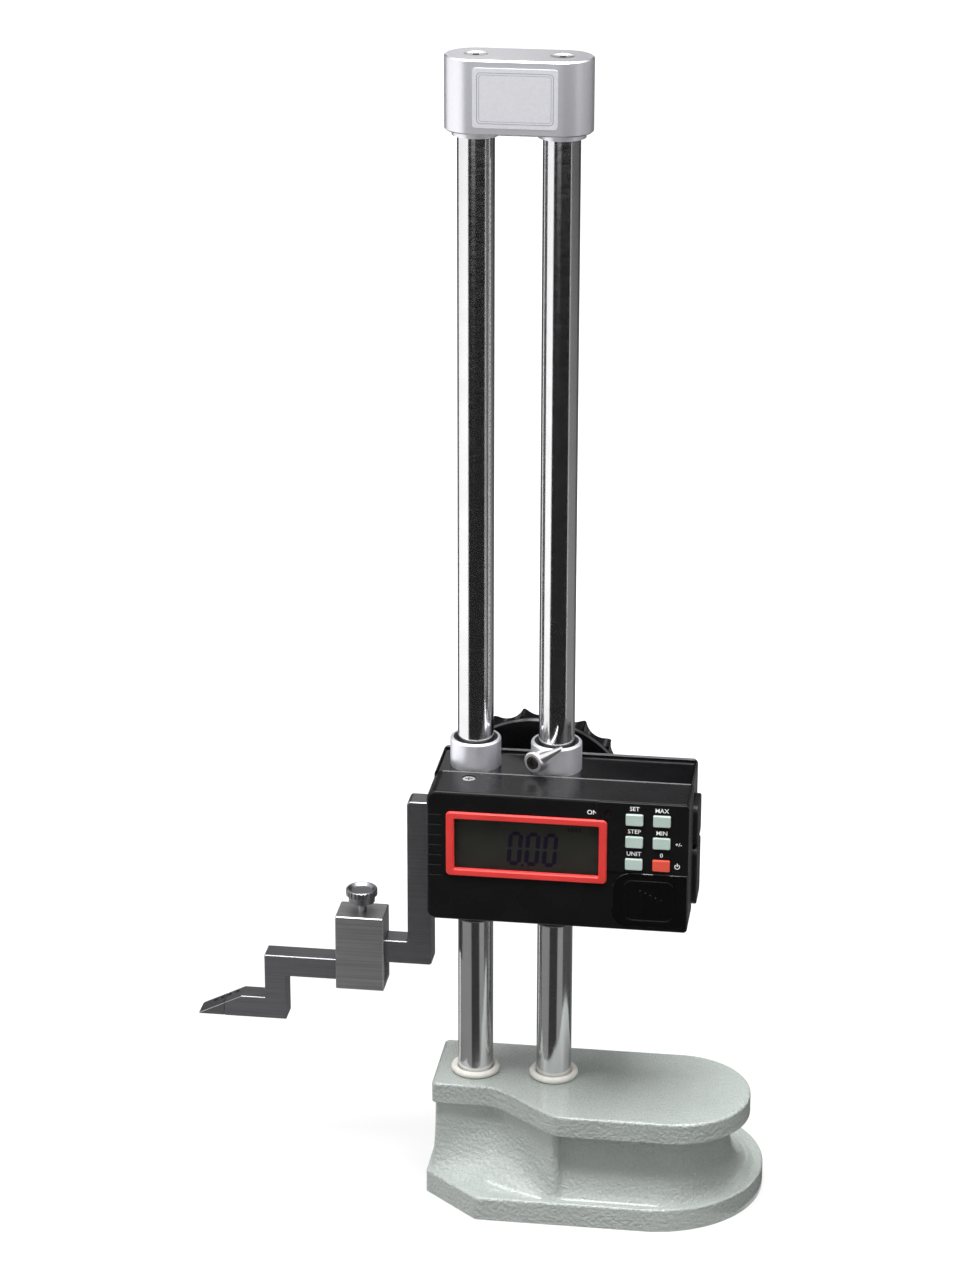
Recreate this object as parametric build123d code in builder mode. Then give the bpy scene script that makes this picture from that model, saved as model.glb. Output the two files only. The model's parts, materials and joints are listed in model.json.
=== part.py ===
from build123d import *
import math
import os

# Digital height gauge with two columns.  Millimetres, +Z up.
# The origin lies on the base's ground underside, midway between the columns.
# +X points to the broad end of the base, +Y to the back, where the handwheel is.

os.makedirs("parts", exist_ok=True)

# ---------------------------------------------------------------- driving dimensions
RUNNING_GAP = 0.06          # radial clearance of a shaft that slides or turns in its hole
LOOSE_GAP = 0.1             # clearance round a piece that moves in a plain opening
TIP_GAP = 0.4               # between the tip of a loosened clamp screw and what it bears on
EDGE_BREAK = 0.3            # chamfer that takes the sharpness off a machined edge
CROSS_LENGTH, CROSS_WIDTH, CROSS_DEPTH = 3.3, 0.75, 1.0     # cross recess of a small screw

# base
FOOT_LEFT, FOOT_RIGHT = -36.0, 107.7
FOOT_FRONT, FOOT_BACK = -40.0, 55.5
FOOT_TOP = 10.5
FOOT_CHAMFER_BACK = -18.4   # where the slanted front left corner starts on the left side
FOOT_CHAMFER_RIGHT = -11.6  # and where it ends on the front
TABLE_LEFT, TABLE_RIGHT = -34.0, 102.4
TABLE_FRONT, TABLE_BACK = -38.7, 26.0
TABLE_BOTTOM, TABLE_TOP = 42.0, 51.1
TABLE_NOTCH_FRONT = -16.0   # the table steps back beside the columns
TABLE_STEP_LEFT, TABLE_STEP_RIGHT = -6.2, 22.0
COVE_TOP = 38.5
COVE_SECTIONS = 5
EDGE_ROUNDING = 1.2
CORNER_ROUNDING = 2.5

# columns and cap
COLUMN_X = 17.0
COLUMN_RADIUS = 7.5
COLUMN_BOTTOM, COLUMN_TOP = 16.0, 489.0
COLUMN_BOLT_RADIUS, COLUMN_BOLT_LENGTH = 3.0, 20.0
COLUMN_BOLT_HEAD_RADIUS, COLUMN_BOLT_HEAD_HEIGHT = 5.0, 5.5
BOLT_RECESS_RADIUS, BOLT_RECESS_DEPTH = 6.6, 8.0
WASHER_THICKNESS, WASHER_GAP = 1.2, 0.4
BOLT_SOCKET_RADIUS, BOLT_SOCKET_DEPTH = 2.9, 3.0
CAP_BOTTOM, CAP_TOP = 464.0, 493.5
CAP_RADIUS, CAP_CHAMFER = 12.5, 0.6
CAP_BOSS_RADIUS, CAP_BOSS_DEPTH = 9.6, 2.2
CAP_SCREW_RADIUS, CAP_SCREW_LENGTH, CAP_SCREW_HEAD_RADIUS = 2.4, 15.0, 4.7
CAP_SINK_ANGLE = 90.0
CAP_SOCKET_RADIUS, CAP_SOCKET_DEPTH, CAP_SCREW_SUNK = 1.7, 2.2, 0.3
PLATE_WIDTH, PLATE_HEIGHT, PLATE_THICKNESS, PLATE_CORNER = 33.4, 23.4, 0.4, 1.5
BUMPER_RING_RADIUS, BUMPER_CORD_RADIUS = 9.1, 1.42

# rack on the right column, drive pinion and encoder pinion
MODULE = 0.8
PRESSURE_ANGLE = 20.0
PINION_TEETH = 15
PINION_ADDENDUM, RACK_ADDENDUM = 0.8 * MODULE, 0.6 * MODULE
TIP_CLEARANCE = 0.2
FLANK_CLEARANCE = 0.12      # taken off each tooth's thickness on the pitch line
RACK_PITCH_X = 11.2
RACK_FRONT = 0.8            # the teeth are milled in the back half of the column only
RACK_LOW, RACK_HIGH = 80.0, 448.0
PINION_FRONT, PINION_BACK = 1.0, 7.2
SHAFT_Z = 162.0
ENCODER_PITCHES_UP = 8      # the encoder pinion sits this many teeth above the drive pinion

# slider: body, display housing and guides
BODY_LEFT, BODY_RIGHT = -32.6, 75.1
BODY_FRONT, BODY_BACK = -12.6, 15.35
HOUSING_RIGHT = 75.65
HOUSING_FRONT = -35.0
SLIDER_BOTTOM, SLIDER_TOP = 138.2, 195.8
WALL = 2.0
TRAY_DEPTH, TRAY_RIM = 1.2, 1.2
SEAM_ROUNDING = 0.5         # round the display housing's rear edge, where it meets the body
FRAME_HALF_WIDTH = 30.0
FRAME_FRONT, FRAME_BACK = -12.2, 12.9
FRAME_BOTTOM, FRAME_TOP = 141.0, 193.4
GUIDE_SPIGOT_RADIUS = 9.4
UPPER_SPIGOT_LENGTH, LOWER_SPIGOT_LENGTH = 4.0, 9.0
COLLAR_RADIUS, COLLAR_TOP, COLLAR_ROUNDING = 10.63, 206.8, 0.9
BUSH_BOTTOM = 125.3
SEAL_RADIUS, SEAL_DEPTH = 9.3, 2.2

# display and keys
PANEL_FRONT = -35.5
PANEL_LEFT, PANEL_BOTTOM = 37.5, 164.7
DISPLAY_X, DISPLAY_Z = 8.9, 173.1
BEZEL_WIDTH, BEZEL_HEIGHT, BEZEL_FRONT = 66.6, 28.4, -36.1
BEZEL_SEAT = -34.2
SCREEN_WIDTH, SCREEN_HEIGHT = 59.9, 22.4
KEY_WIDTH, KEY_HEIGHT, KEY_FRONT = 7.15, 4.95, -36.5
KEY_TRAVEL = 0.8
KEY_COLUMNS = {"left": 53.4, "right": 64.65}
KEY_ROWS = {"top": 188.35, "middle": 178.5, "bottom": 168.6}
GRIP_GROOVES, GRIP_PITCH, GRIP_WIDTH, GRIP_BOTTOM = 7, 4.53, 6.2, 158.9
GRIP_DEPTH, GRIP_HEIGHT = 0.6, 1.5
BATTERY_X, BATTERY_Z = 59.65, 151.75
BATTERY_RADIUS, BATTERY_THICKNESS = 10.0, 3.2
COVER_LEFT, COVER_BOTTOM, COVER_TOP = 44.4, 140.2, 164.4
COVER_FRONT, COVER_BACK = -35.4, -33.6
COVER_TONGUE = 0.7
COVER_CORNER = 8.0

# handwheel
WHEEL_FRONT, WHEEL_BACK = 28.0, 39.5
WHEEL_RADIUS, WHEEL_FACE_RADIUS, WHEEL_NOTCH_RADIUS = 43.2, 42.2, 39.6
WHEEL_LOBES = 20
SHAFT_RADIUS = 2.5
CRANK_RADIUS = 31.0
CRANK_ANGLE = -50.0

# jaw, clamp and scriber
JAW_LEFT, JAW_RIGHT = -45.8, -35.4
JAW_FRONT, JAW_DEPTH = -4.0, 10.0
JAW_TOP, ARM_TOP, ARM_BOTTOM = 176.7, 111.7, 101.3
ARM_END = -75.5
SCRIBER_TOP, SCRIBER_BOTTOM = 101.2, 91.8
SCRIBER_RIGHT, SCRIBER_DROP_LEFT, SCRIBER_DROP_RIGHT = -57.5, -108.4, -99.1
FOOT_SLOPE_TOP, FOOT_SLOPE_START = 80.8, -118.9
MEASURING_FACE = 71.1
SCRIBER_TIP, CARBIDE_START = -137.8, -126.5
BOX_LEFT, BOX_RIGHT = -76.7, -55.9
BOX_BOTTOM, BOX_TOP = 88.8, 122.9
BOX_WALL = 3.0

# ---------------------------------------------------------------- derived dimensions
PITCH = math.pi * MODULE
PINION_RADIUS = MODULE * PINION_TEETH / 2
SHAFT_X = RACK_PITCH_X - PINION_RADIUS
ENCODER_Z = SHAFT_Z + ENCODER_PITCHES_UP * PITCH
COLUMN_SIDES = {"left": -COLUMN_X, "right": COLUMN_X}
JAW_BACK = JAW_FRONT + JAW_DEPTH
JAW_MIDDLE = (JAW_FRONT + JAW_BACK) / 2
HOUSING_INSIDE = HOUSING_FRONT + WALL
BODY_WIDTH = BODY_RIGHT - BODY_LEFT
HOUSING_WIDTH = HOUSING_RIGHT - BODY_LEFT
HOUSING_MIDDLE_X = (HOUSING_RIGHT + BODY_LEFT) / 2
BODY_MIDDLE_X = (BODY_RIGHT + BODY_LEFT) / 2
SLIDER_HEIGHT = SLIDER_TOP - SLIDER_BOTTOM
SLIDER_MIDDLE_Z = (SLIDER_TOP + SLIDER_BOTTOM) / 2


def facing_front(y, x=0.0, z=0.0):
    """Upright plane at depth y seen from the front: local x is X and local y is Z."""
    return Plane(origin=(x, y, z), x_dir=(1, 0, 0), z_dir=(0, -1, 0))


def facing_right(x, y=0.0, z=0.0):
    """Upright plane at x seen from the right: local x is Y and local y is Z."""
    return Plane(origin=(x, y, z), x_dir=(0, 1, 0), z_dir=(1, 0, 0))


def mix(start, end, share):
    """The value that lies the given share of the way from start to end."""
    return start + (end - start) * share


def save(piece, name):
    """Labels one finished piece and writes its file."""
    piece.label = name
    export_step(piece, f"parts/{name}.step")


# ---------------------------------------------------------------- base
WEB_INSET_LEFT, WEB_INSET_FRONT, WEB_RECESS, WEB_STEP = 1.0, 2.8, 9.1, 3.9
web_left, web_front = TABLE_LEFT + WEB_INSET_LEFT, TABLE_NOTCH_FRONT + WEB_INSET_FRONT
groove_front, groove_back = TABLE_FRONT + WEB_RECESS, TABLE_BACK - WEB_RECESS
groove_right = TABLE_RIGHT - WEB_RECESS
GROOVE_LEFT = 24.6          # the finger groove runs from here round the broad end
POCKET_DEPTH, POCKET_EDGE, POCKET_CORNER = 6.0, 22.0, 8.0
web_corners = [
    (web_left, groove_back), (web_left, web_front),
    (TABLE_STEP_LEFT + WEB_INSET_LEFT, web_front),
    (TABLE_STEP_RIGHT, TABLE_FRONT + WEB_STEP), (GROOVE_LEFT, groove_front),
    (groove_right, groove_front), (groove_right, groove_back),
]
web_radii = [3.0, 3.0, 12.0, 2.5, 2.0, 23.0, 23.0]
COVE_INSET, COVE_SUNK = 1.3, 0.5
rim_left, rim_right = FOOT_LEFT + COVE_INSET, FOOT_RIGHT - COVE_INSET
rim_front, rim_back = FOOT_FRONT + COVE_INSET, FOOT_BACK - COVE_INSET
RIM_KINK = 0.3              # keeps neighbouring runs of the cove's lower edge out of line
rim_corners = [
    (rim_left, rim_back), (rim_left, FOOT_CHAMFER_BACK + COVE_INSET / 2),
    (FOOT_CHAMFER_RIGHT, rim_front + RIM_KINK), (TABLE_STEP_RIGHT, rim_front),
    (GROOVE_LEFT + COVE_INSET, rim_front + RIM_KINK),
    (rim_right, rim_front), (rim_right, rim_back),
]
rim_radii = [11.0, 2.5, 2.5, 3.0, 3.0, 46.2, 46.2]

with BuildPart() as base_casting:
    with BuildSketch():
        with BuildLine():
            FilletPolyline(
                (FOOT_LEFT, FOOT_BACK), (FOOT_LEFT, FOOT_CHAMFER_BACK),
                (FOOT_CHAMFER_RIGHT, FOOT_FRONT), (FOOT_RIGHT, FOOT_FRONT),
                (FOOT_RIGHT, FOOT_BACK),
                radius=[12.0, CORNER_ROUNDING, CORNER_ROUNDING, 47.6, 47.6], close=True,
            )
        make_face()
    extrude(amount=FOOT_TOP)
    fillet(faces().sort_by(Axis.Z)[-1].edges(), EDGE_ROUNDING)
    # the cove sweeps up from the foot's rim to the upright web, as a quarter ellipse
    for step in range(COVE_SECTIONS):
        turn = math.pi / 2 * step / (COVE_SECTIONS - 1)
        spread = 1 - math.sin(turn)
        height = mix(FOOT_TOP - COVE_SUNK, COVE_TOP, 1 - math.cos(turn))
        with BuildSketch(Plane.XY.offset(height)):
            with BuildLine():
                FilletPolyline(
                    *[
                        (mix(web[0], rim[0], spread), mix(web[1], rim[1], spread))
                        for web, rim in zip(web_corners, rim_corners)
                    ],
                    radius=[mix(web, rim, spread) for web, rim in zip(web_radii, rim_radii)],
                    close=True,
                )
            make_face()
    loft()
    with BuildSketch(Plane.XY.offset(COVE_TOP)):
        with BuildLine():
            FilletPolyline(*web_corners, radius=web_radii, close=True)
        make_face()
    extrude(amount=TABLE_BOTTOM - COVE_TOP)
    with BuildSketch(Plane.XY.offset(TABLE_BOTTOM)):
        with BuildLine():
            FilletPolyline(
                (TABLE_LEFT, TABLE_BACK), (TABLE_LEFT, TABLE_NOTCH_FRONT),
                (TABLE_STEP_LEFT, TABLE_NOTCH_FRONT), (TABLE_STEP_RIGHT, TABLE_FRONT),
                (TABLE_RIGHT, TABLE_FRONT), (TABLE_RIGHT, TABLE_BACK),
                radius=[CORNER_ROUNDING, CORNER_ROUNDING, 14.0, 12.0, 32.2, 32.2], close=True,
            )
        make_face()
    extrude(amount=TABLE_TOP - TABLE_BOTTOM)
    fillet(faces().sort_by(Axis.Z)[-1].edges(), EDGE_ROUNDING)
    # sockets for the columns, and the bolts' ways up from below
    with Locations((-COLUMN_X, 0, TABLE_TOP), (COLUMN_X, 0, TABLE_TOP)):
        Hole(COLUMN_RADIUS, depth=TABLE_TOP - COLUMN_BOTTOM)
    with Locations((-COLUMN_X, 0, COLUMN_BOTTOM), (COLUMN_X, 0, COLUMN_BOTTOM)):
        Hole(COLUMN_BOLT_RADIUS + LOOSE_GAP, depth=COLUMN_BOTTOM)
    with BuildSketch():
        with Locations((-COLUMN_X, 0), (COLUMN_X, 0)):
            Circle(BOLT_RECESS_RADIUS)
    extrude(amount=BOLT_RECESS_DEPTH, mode=Mode.SUBTRACT)
    # lightening pocket under the broad end
    pocket_left, pocket_right = COLUMN_X + POCKET_EDGE, FOOT_RIGHT - POCKET_EDGE / 2
    with BuildSketch():
        with Locations(((pocket_left + pocket_right) / 2, (FOOT_FRONT + FOOT_BACK) / 2)):
            RectangleRounded(
                pocket_right - pocket_left, FOOT_BACK - FOOT_FRONT - 1.5 * POCKET_EDGE, POCKET_CORNER
            )
    extrude(amount=POCKET_DEPTH, mode=Mode.SUBTRACT)
save(base_casting.part, "base_casting")

# ---------------------------------------------------------------- columns
BOLT_HOLE_DEPTH = 24.0
COLUMN_CHAMFER = 0.5
FLAT_OVERRUN = 1.0
for side, column_x in COLUMN_SIDES.items():
    with BuildPart() as column:
        with BuildSketch(Plane.XY.offset(COLUMN_BOTTOM)):
            with Locations((column_x, 0)):
                Circle(COLUMN_RADIUS)
        extrude(amount=COLUMN_TOP - COLUMN_BOTTOM)
        chamfer(edges().filter_by(GeomType.CIRCLE), COLUMN_CHAMFER)
        # tapped holes for the base bolt and the cap screw
        with BuildSketch(Plane.XY.offset(COLUMN_BOTTOM)):
            with Locations((column_x, 0)):
                Circle(COLUMN_BOLT_RADIUS)
        extrude(amount=BOLT_HOLE_DEPTH, mode=Mode.SUBTRACT)
        with BuildSketch(Plane.XY.offset(COLUMN_TOP)):
            with Locations((column_x, 0)):
                Circle(CAP_SCREW_RADIUS)
        extrude(amount=-CAP_SCREW_LENGTH, mode=Mode.SUBTRACT)
        if side == "right":
            # the rack: a flat milled along the inner back quarter, then one groove per tooth
            tooth_tip_x = RACK_PITCH_X - RACK_ADDENDUM
            tooth_root_x = RACK_PITCH_X + PINION_ADDENDUM + TIP_CLEARANCE
            flat_left = column_x - COLUMN_RADIUS - FLAT_OVERRUN
            with BuildSketch(facing_front(COLUMN_RADIUS)):
                with Locations(((flat_left + tooth_tip_x) / 2, (RACK_LOW + RACK_HIGH) / 2)):
                    Rectangle(tooth_tip_x - flat_left, RACK_HIGH - RACK_LOW)
            extrude(amount=COLUMN_RADIUS - RACK_FRONT, mode=Mode.SUBTRACT)
            slant = math.tan(math.radians(PRESSURE_ANGLE))
            half_gap = (PITCH / 2 + FLANK_CLEARANCE) / 2
            half_mouth = half_gap + RACK_ADDENDUM * slant
            half_root = half_gap - (tooth_root_x - RACK_PITCH_X) * slant
            first_gap = math.ceil((RACK_LOW - SHAFT_Z) / PITCH) + 1
            last_gap = math.floor((RACK_HIGH - SHAFT_Z) / PITCH) - 1
            with BuildSketch(facing_front(COLUMN_RADIUS)):
                for gap in range(first_gap, last_gap):
                    gap_z = SHAFT_Z + (gap + 0.5) * PITCH
                    with BuildLine():
                        Polyline(
                            (tooth_tip_x, gap_z - half_mouth), (tooth_root_x, gap_z - half_root),
                            (tooth_root_x, gap_z + half_root), (tooth_tip_x, gap_z + half_mouth),
                            close=True,
                        )
                    make_face()
            extrude(amount=COLUMN_RADIUS - RACK_FRONT, mode=Mode.SUBTRACT)
    save(column.part, f"{side}_column")

with BuildPart() as column_washers:
    with BuildSketch(Plane.XY.offset(BOLT_RECESS_DEPTH - WASHER_THICKNESS)):
        with Locations((-COLUMN_X, 0), (COLUMN_X, 0)):
            Circle(BOLT_RECESS_RADIUS - WASHER_GAP)
            Circle(COLUMN_BOLT_RADIUS + LOOSE_GAP, mode=Mode.SUBTRACT)
    extrude(amount=WASHER_THICKNESS)
save(column_washers.part, "column_washers")

with BuildPart() as column_bolts:
    bolt_seat = BOLT_RECESS_DEPTH - WASHER_THICKNESS
    with BuildSketch(Plane.XY.offset(bolt_seat - COLUMN_BOLT_HEAD_HEIGHT)):
        with Locations((-COLUMN_X, 0), (COLUMN_X, 0)):
            Circle(COLUMN_BOLT_HEAD_RADIUS)
    extrude(amount=COLUMN_BOLT_HEAD_HEIGHT)
    with BuildSketch(Plane.XY.offset(bolt_seat)):
        with Locations((-COLUMN_X, 0), (COLUMN_X, 0)):
            Circle(COLUMN_BOLT_RADIUS - RUNNING_GAP)
    extrude(amount=COLUMN_BOLT_LENGTH)
    with BuildSketch(Plane.XY.offset(bolt_seat - COLUMN_BOLT_HEAD_HEIGHT)):
        with Locations((-COLUMN_X, 0), (COLUMN_X, 0)):
            RegularPolygon(BOLT_SOCKET_RADIUS, 6)
    extrude(amount=BOLT_SOCKET_DEPTH, mode=Mode.SUBTRACT)
save(column_bolts.part, "column_bolts")

for side, column_x in COLUMN_SIDES.items():
    with BuildPart() as bumper_ring:
        with BuildSketch(facing_front(0)):
            with Locations((column_x + BUMPER_RING_RADIUS, TABLE_TOP + BUMPER_CORD_RADIUS)):
                Circle(BUMPER_CORD_RADIUS)
        revolve(axis=Axis((column_x, 0, 0), (0, 0, 1)))
    save(bumper_ring.part, f"{side}_bumper_ring")

# ---------------------------------------------------------------- top cap
with BuildPart() as top_cap:
    with BuildSketch(Plane.XY.offset(CAP_BOTTOM)):
        SlotCenterToCenter(2 * COLUMN_X, 2 * CAP_RADIUS)
    extrude(amount=CAP_TOP - CAP_BOTTOM)
    chamfer(edges().group_by(Axis.Z)[-1] + edges().group_by(Axis.Z)[0], CAP_CHAMFER)
    with BuildSketch(Plane.XY.offset(CAP_BOTTOM)):
        with Locations((-COLUMN_X, 0), (COLUMN_X, 0)):
            Circle(CAP_BOSS_RADIUS)
    extrude(amount=-CAP_BOSS_DEPTH)
    with BuildSketch(Plane.XY.offset(CAP_BOTTOM - CAP_BOSS_DEPTH)):
        with Locations((-COLUMN_X, 0), (COLUMN_X, 0)):
            Circle(COLUMN_RADIUS)
    extrude(amount=COLUMN_TOP - CAP_BOTTOM + CAP_BOSS_DEPTH, mode=Mode.SUBTRACT)
    with Locations((-COLUMN_X, 0, CAP_TOP), (COLUMN_X, 0, CAP_TOP)):
        CounterSinkHole(
            CAP_SCREW_RADIUS + LOOSE_GAP, CAP_SCREW_HEAD_RADIUS + LOOSE_GAP,
            depth=CAP_TOP - COLUMN_TOP + LOOSE_GAP, counter_sink_angle=CAP_SINK_ANGLE,
        )
save(top_cap.part, "top_cap")

with BuildPart() as cap_screws:
    shank_radius = CAP_SCREW_RADIUS - RUNNING_GAP
    seat_radius = CAP_SCREW_HEAD_RADIUS + LOOSE_GAP
    for column_x in COLUMN_SIDES.values():
        with BuildSketch(facing_front(0)):
            with BuildLine():
                Polyline(
                    (column_x, CAP_TOP - CAP_SCREW_SUNK),
                    (column_x + seat_radius - CAP_SCREW_SUNK, CAP_TOP - CAP_SCREW_SUNK),
                    (column_x + shank_radius, CAP_TOP - seat_radius + shank_radius),
                    (column_x + shank_radius, CAP_TOP - CAP_SCREW_LENGTH),
                    (column_x, CAP_TOP - CAP_SCREW_LENGTH), close=True,
                )
            make_face()
        revolve(axis=Axis((column_x, 0, 0), (0, 0, 1)))
    with BuildSketch(Plane.XY.offset(CAP_TOP)):
        with Locations((-COLUMN_X, 0), (COLUMN_X, 0)):
            RegularPolygon(CAP_SOCKET_RADIUS, 6)
    extrude(amount=-CAP_SOCKET_DEPTH, mode=Mode.SUBTRACT)
save(cap_screws.part, "cap_screws")

with BuildPart() as cap_plate:
    with BuildSketch(facing_front(-CAP_RADIUS)):
        with Locations((0, (CAP_BOTTOM + CAP_TOP) / 2)):
            RectangleRounded(PLATE_WIDTH, PLATE_HEIGHT, PLATE_CORNER)
    extrude(amount=PLATE_THICKNESS)
save(cap_plate.part, "cap_plate")

# ---------------------------------------------------------------- slider frame
BOSS_BOTTOM, BOSS_TOP = 146.0, 174.5        # the pad that carries the jaw
JAW_SCREW_Z = (152.5, 168.0)
JAW_SCREW_RADIUS, JAW_SCREW_HEAD_RADIUS, JAW_SCREW_HEAD = 2.0, 3.5, 4.0
JAW_SCREW_DEPTH = 6.0                       # that the jaw screws reach into the pad
FRAME_ROUNDING = 1.5
POCKET_RADIUS = PINION_RADIUS + PINION_ADDENDUM + 0.5
GEAR_PLATE_FRONT = 7.6
GEAR_PLATE_LEFT, GEAR_PLATE_RIGHT = -7.0, 10.6
GEAR_PLATE_BOTTOM, GEAR_PLATE_TOP = 151.0, 192.0
GEAR_SCREWS = ((-4.4, 155.0), (-4.4, 188.5))
FRONT_BUSH_RADIUS, REAR_BUSH_RADIUS = 3.6, 4.4
BUSH_FRONT = -6.0
ENCODER_SHAFT_RADIUS, ENCODER_BUSH_RADIUS = 1.5, 2.4
LUG_X, LUG_Y = -17.1, -19.3                 # the lug under the housing screw
LUG_BOTTOM, LUG_RADIUS = 186.0, 4.0
HOUSING_SCREW_RADIUS, HOUSING_SCREW_DEPTH = 1.5, 6.0
GEAR_SCREW_RADIUS, GEAR_SCREW_HEAD_RADIUS, GEAR_SCREW_HEAD = 1.3, 2.2, 0.4
GEAR_SCREW_DEPTH = 4.0                      # beyond the gear plate

with BuildPart() as slider_frame:
    with BuildSketch(Plane.XY.offset(FRAME_BOTTOM)):
        with Locations((0, (FRAME_FRONT + FRAME_BACK) / 2)):
            Rectangle(2 * FRAME_HALF_WIDTH, FRAME_BACK - FRAME_FRONT)
    extrude(amount=FRAME_TOP - FRAME_BOTTOM)
    fillet(edges().filter_by(Axis.Z), FRAME_ROUNDING)
    with BuildSketch(facing_right(-FRAME_HALF_WIDTH)):
        with Locations((JAW_MIDDLE, (BOSS_BOTTOM + BOSS_TOP) / 2)):
            Rectangle(JAW_DEPTH, BOSS_TOP - BOSS_BOTTOM)
    extrude(amount=JAW_RIGHT + FRAME_HALF_WIDTH)
    with BuildSketch(Plane.XY.offset(LUG_BOTTOM)):
        with Locations((LUG_X, (LUG_Y + FRAME_FRONT) / 2)):
            Rectangle(2 * LUG_RADIUS, FRAME_FRONT - LUG_Y)
        with Locations((LUG_X, LUG_Y)):
            Circle(LUG_RADIUS)
    extrude(amount=FRAME_TOP - LUG_BOTTOM)
    # ways for the columns
    with BuildSketch(Plane.XY.offset(FRAME_BOTTOM)):
        with Locations((-COLUMN_X, 0), (COLUMN_X, 0)):
            Circle(GUIDE_SPIGOT_RADIUS)
    extrude(amount=FRAME_TOP - FRAME_BOTTOM, mode=Mode.SUBTRACT)
    # gear pocket, open to the right column and closed behind by the gear plate
    with BuildSketch(facing_front(GEAR_PLATE_FRONT)):
        with Locations((SHAFT_X, SHAFT_Z), (SHAFT_X, ENCODER_Z)):
            Circle(POCKET_RADIUS)
    extrude(amount=GEAR_PLATE_FRONT - PINION_FRONT + LOOSE_GAP, mode=Mode.SUBTRACT)
    with BuildSketch(facing_front(FRAME_BACK)):
        with Locations((
            (GEAR_PLATE_LEFT + GEAR_PLATE_RIGHT) / 2, (GEAR_PLATE_BOTTOM + GEAR_PLATE_TOP) / 2
        )):
            Rectangle(GEAR_PLATE_RIGHT - GEAR_PLATE_LEFT, GEAR_PLATE_TOP - GEAR_PLATE_BOTTOM)
    extrude(amount=FRAME_BACK - GEAR_PLATE_FRONT, mode=Mode.SUBTRACT)
    # front bush seats of the two pinion shafts
    with BuildSketch(facing_front(PINION_FRONT)):
        with Locations((SHAFT_X, SHAFT_Z)):
            Circle(FRONT_BUSH_RADIUS)
    extrude(amount=PINION_FRONT - BUSH_FRONT, mode=Mode.SUBTRACT)
    with BuildSketch(facing_front(PINION_FRONT)):
        with Locations((SHAFT_X, ENCODER_Z)):
            Circle(ENCODER_BUSH_RADIUS)
    extrude(amount=PINION_FRONT - FRAME_FRONT, mode=Mode.SUBTRACT)
    # tapped holes for the gear plate, the jaw and the housing screw
    with BuildSketch(facing_front(GEAR_PLATE_FRONT)):
        with Locations(*GEAR_SCREWS):
            Circle(GEAR_SCREW_RADIUS)
    extrude(amount=GEAR_SCREW_DEPTH + 1, mode=Mode.SUBTRACT)
    with BuildSketch(facing_right(JAW_RIGHT)):
        with Locations(*[(JAW_MIDDLE, screw_z) for screw_z in JAW_SCREW_Z]):
            Circle(JAW_SCREW_RADIUS)
    extrude(amount=JAW_SCREW_DEPTH + 1, mode=Mode.SUBTRACT)
    with BuildSketch(Plane.XY.offset(FRAME_TOP)):
        with Locations((LUG_X, LUG_Y)):
            Circle(HOUSING_SCREW_RADIUS)
    extrude(amount=-HOUSING_SCREW_DEPTH, mode=Mode.SUBTRACT)
save(slider_frame.part, "slider_frame")

with BuildPart() as gear_plate:
    with BuildSketch(facing_front(FRAME_BACK)):
        with Locations((
            (GEAR_PLATE_LEFT + GEAR_PLATE_RIGHT) / 2, (GEAR_PLATE_BOTTOM + GEAR_PLATE_TOP) / 2
        )):
            Rectangle(
                GEAR_PLATE_RIGHT - GEAR_PLATE_LEFT - LOOSE_GAP,
                GEAR_PLATE_TOP - GEAR_PLATE_BOTTOM - LOOSE_GAP,
            )
        with Locations((SHAFT_X, SHAFT_Z)):
            Circle(REAR_BUSH_RADIUS, mode=Mode.SUBTRACT)
        with Locations((SHAFT_X, ENCODER_Z)):
            Circle(ENCODER_BUSH_RADIUS, mode=Mode.SUBTRACT)
        with Locations(*GEAR_SCREWS):
            Circle(GEAR_SCREW_RADIUS + LOOSE_GAP, mode=Mode.SUBTRACT)
    extrude(amount=FRAME_BACK - GEAR_PLATE_FRONT)
save(gear_plate.part, "gear_plate")

with BuildPart() as gear_plate_screws:
    with BuildSketch(facing_front(FRAME_BACK + GEAR_SCREW_HEAD)):
        with Locations(*GEAR_SCREWS):
            Circle(GEAR_SCREW_HEAD_RADIUS)
    extrude(amount=GEAR_SCREW_HEAD)
    with BuildSketch(facing_front(FRAME_BACK)):
        with Locations(*GEAR_SCREWS):
            Circle(GEAR_SCREW_RADIUS - RUNNING_GAP)
    extrude(amount=FRAME_BACK - GEAR_PLATE_FRONT + GEAR_SCREW_DEPTH)
save(gear_plate_screws.part, "gear_plate_screws")

with BuildPart() as shaft_bushes:
    with BuildSketch(facing_front(PINION_FRONT - LOOSE_GAP)):
        with Locations((SHAFT_X, SHAFT_Z)):
            Circle(FRONT_BUSH_RADIUS)
            Circle(SHAFT_RADIUS + RUNNING_GAP, mode=Mode.SUBTRACT)
    extrude(amount=PINION_FRONT - LOOSE_GAP - BUSH_FRONT)
    with BuildSketch(facing_front(FRAME_BACK)):
        with Locations((SHAFT_X, SHAFT_Z)):
            Circle(REAR_BUSH_RADIUS)
            Circle(SHAFT_RADIUS + RUNNING_GAP, mode=Mode.SUBTRACT)
    extrude(amount=FRAME_BACK - GEAR_PLATE_FRONT)
save(shaft_bushes.part, "shaft_bushes")

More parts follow.
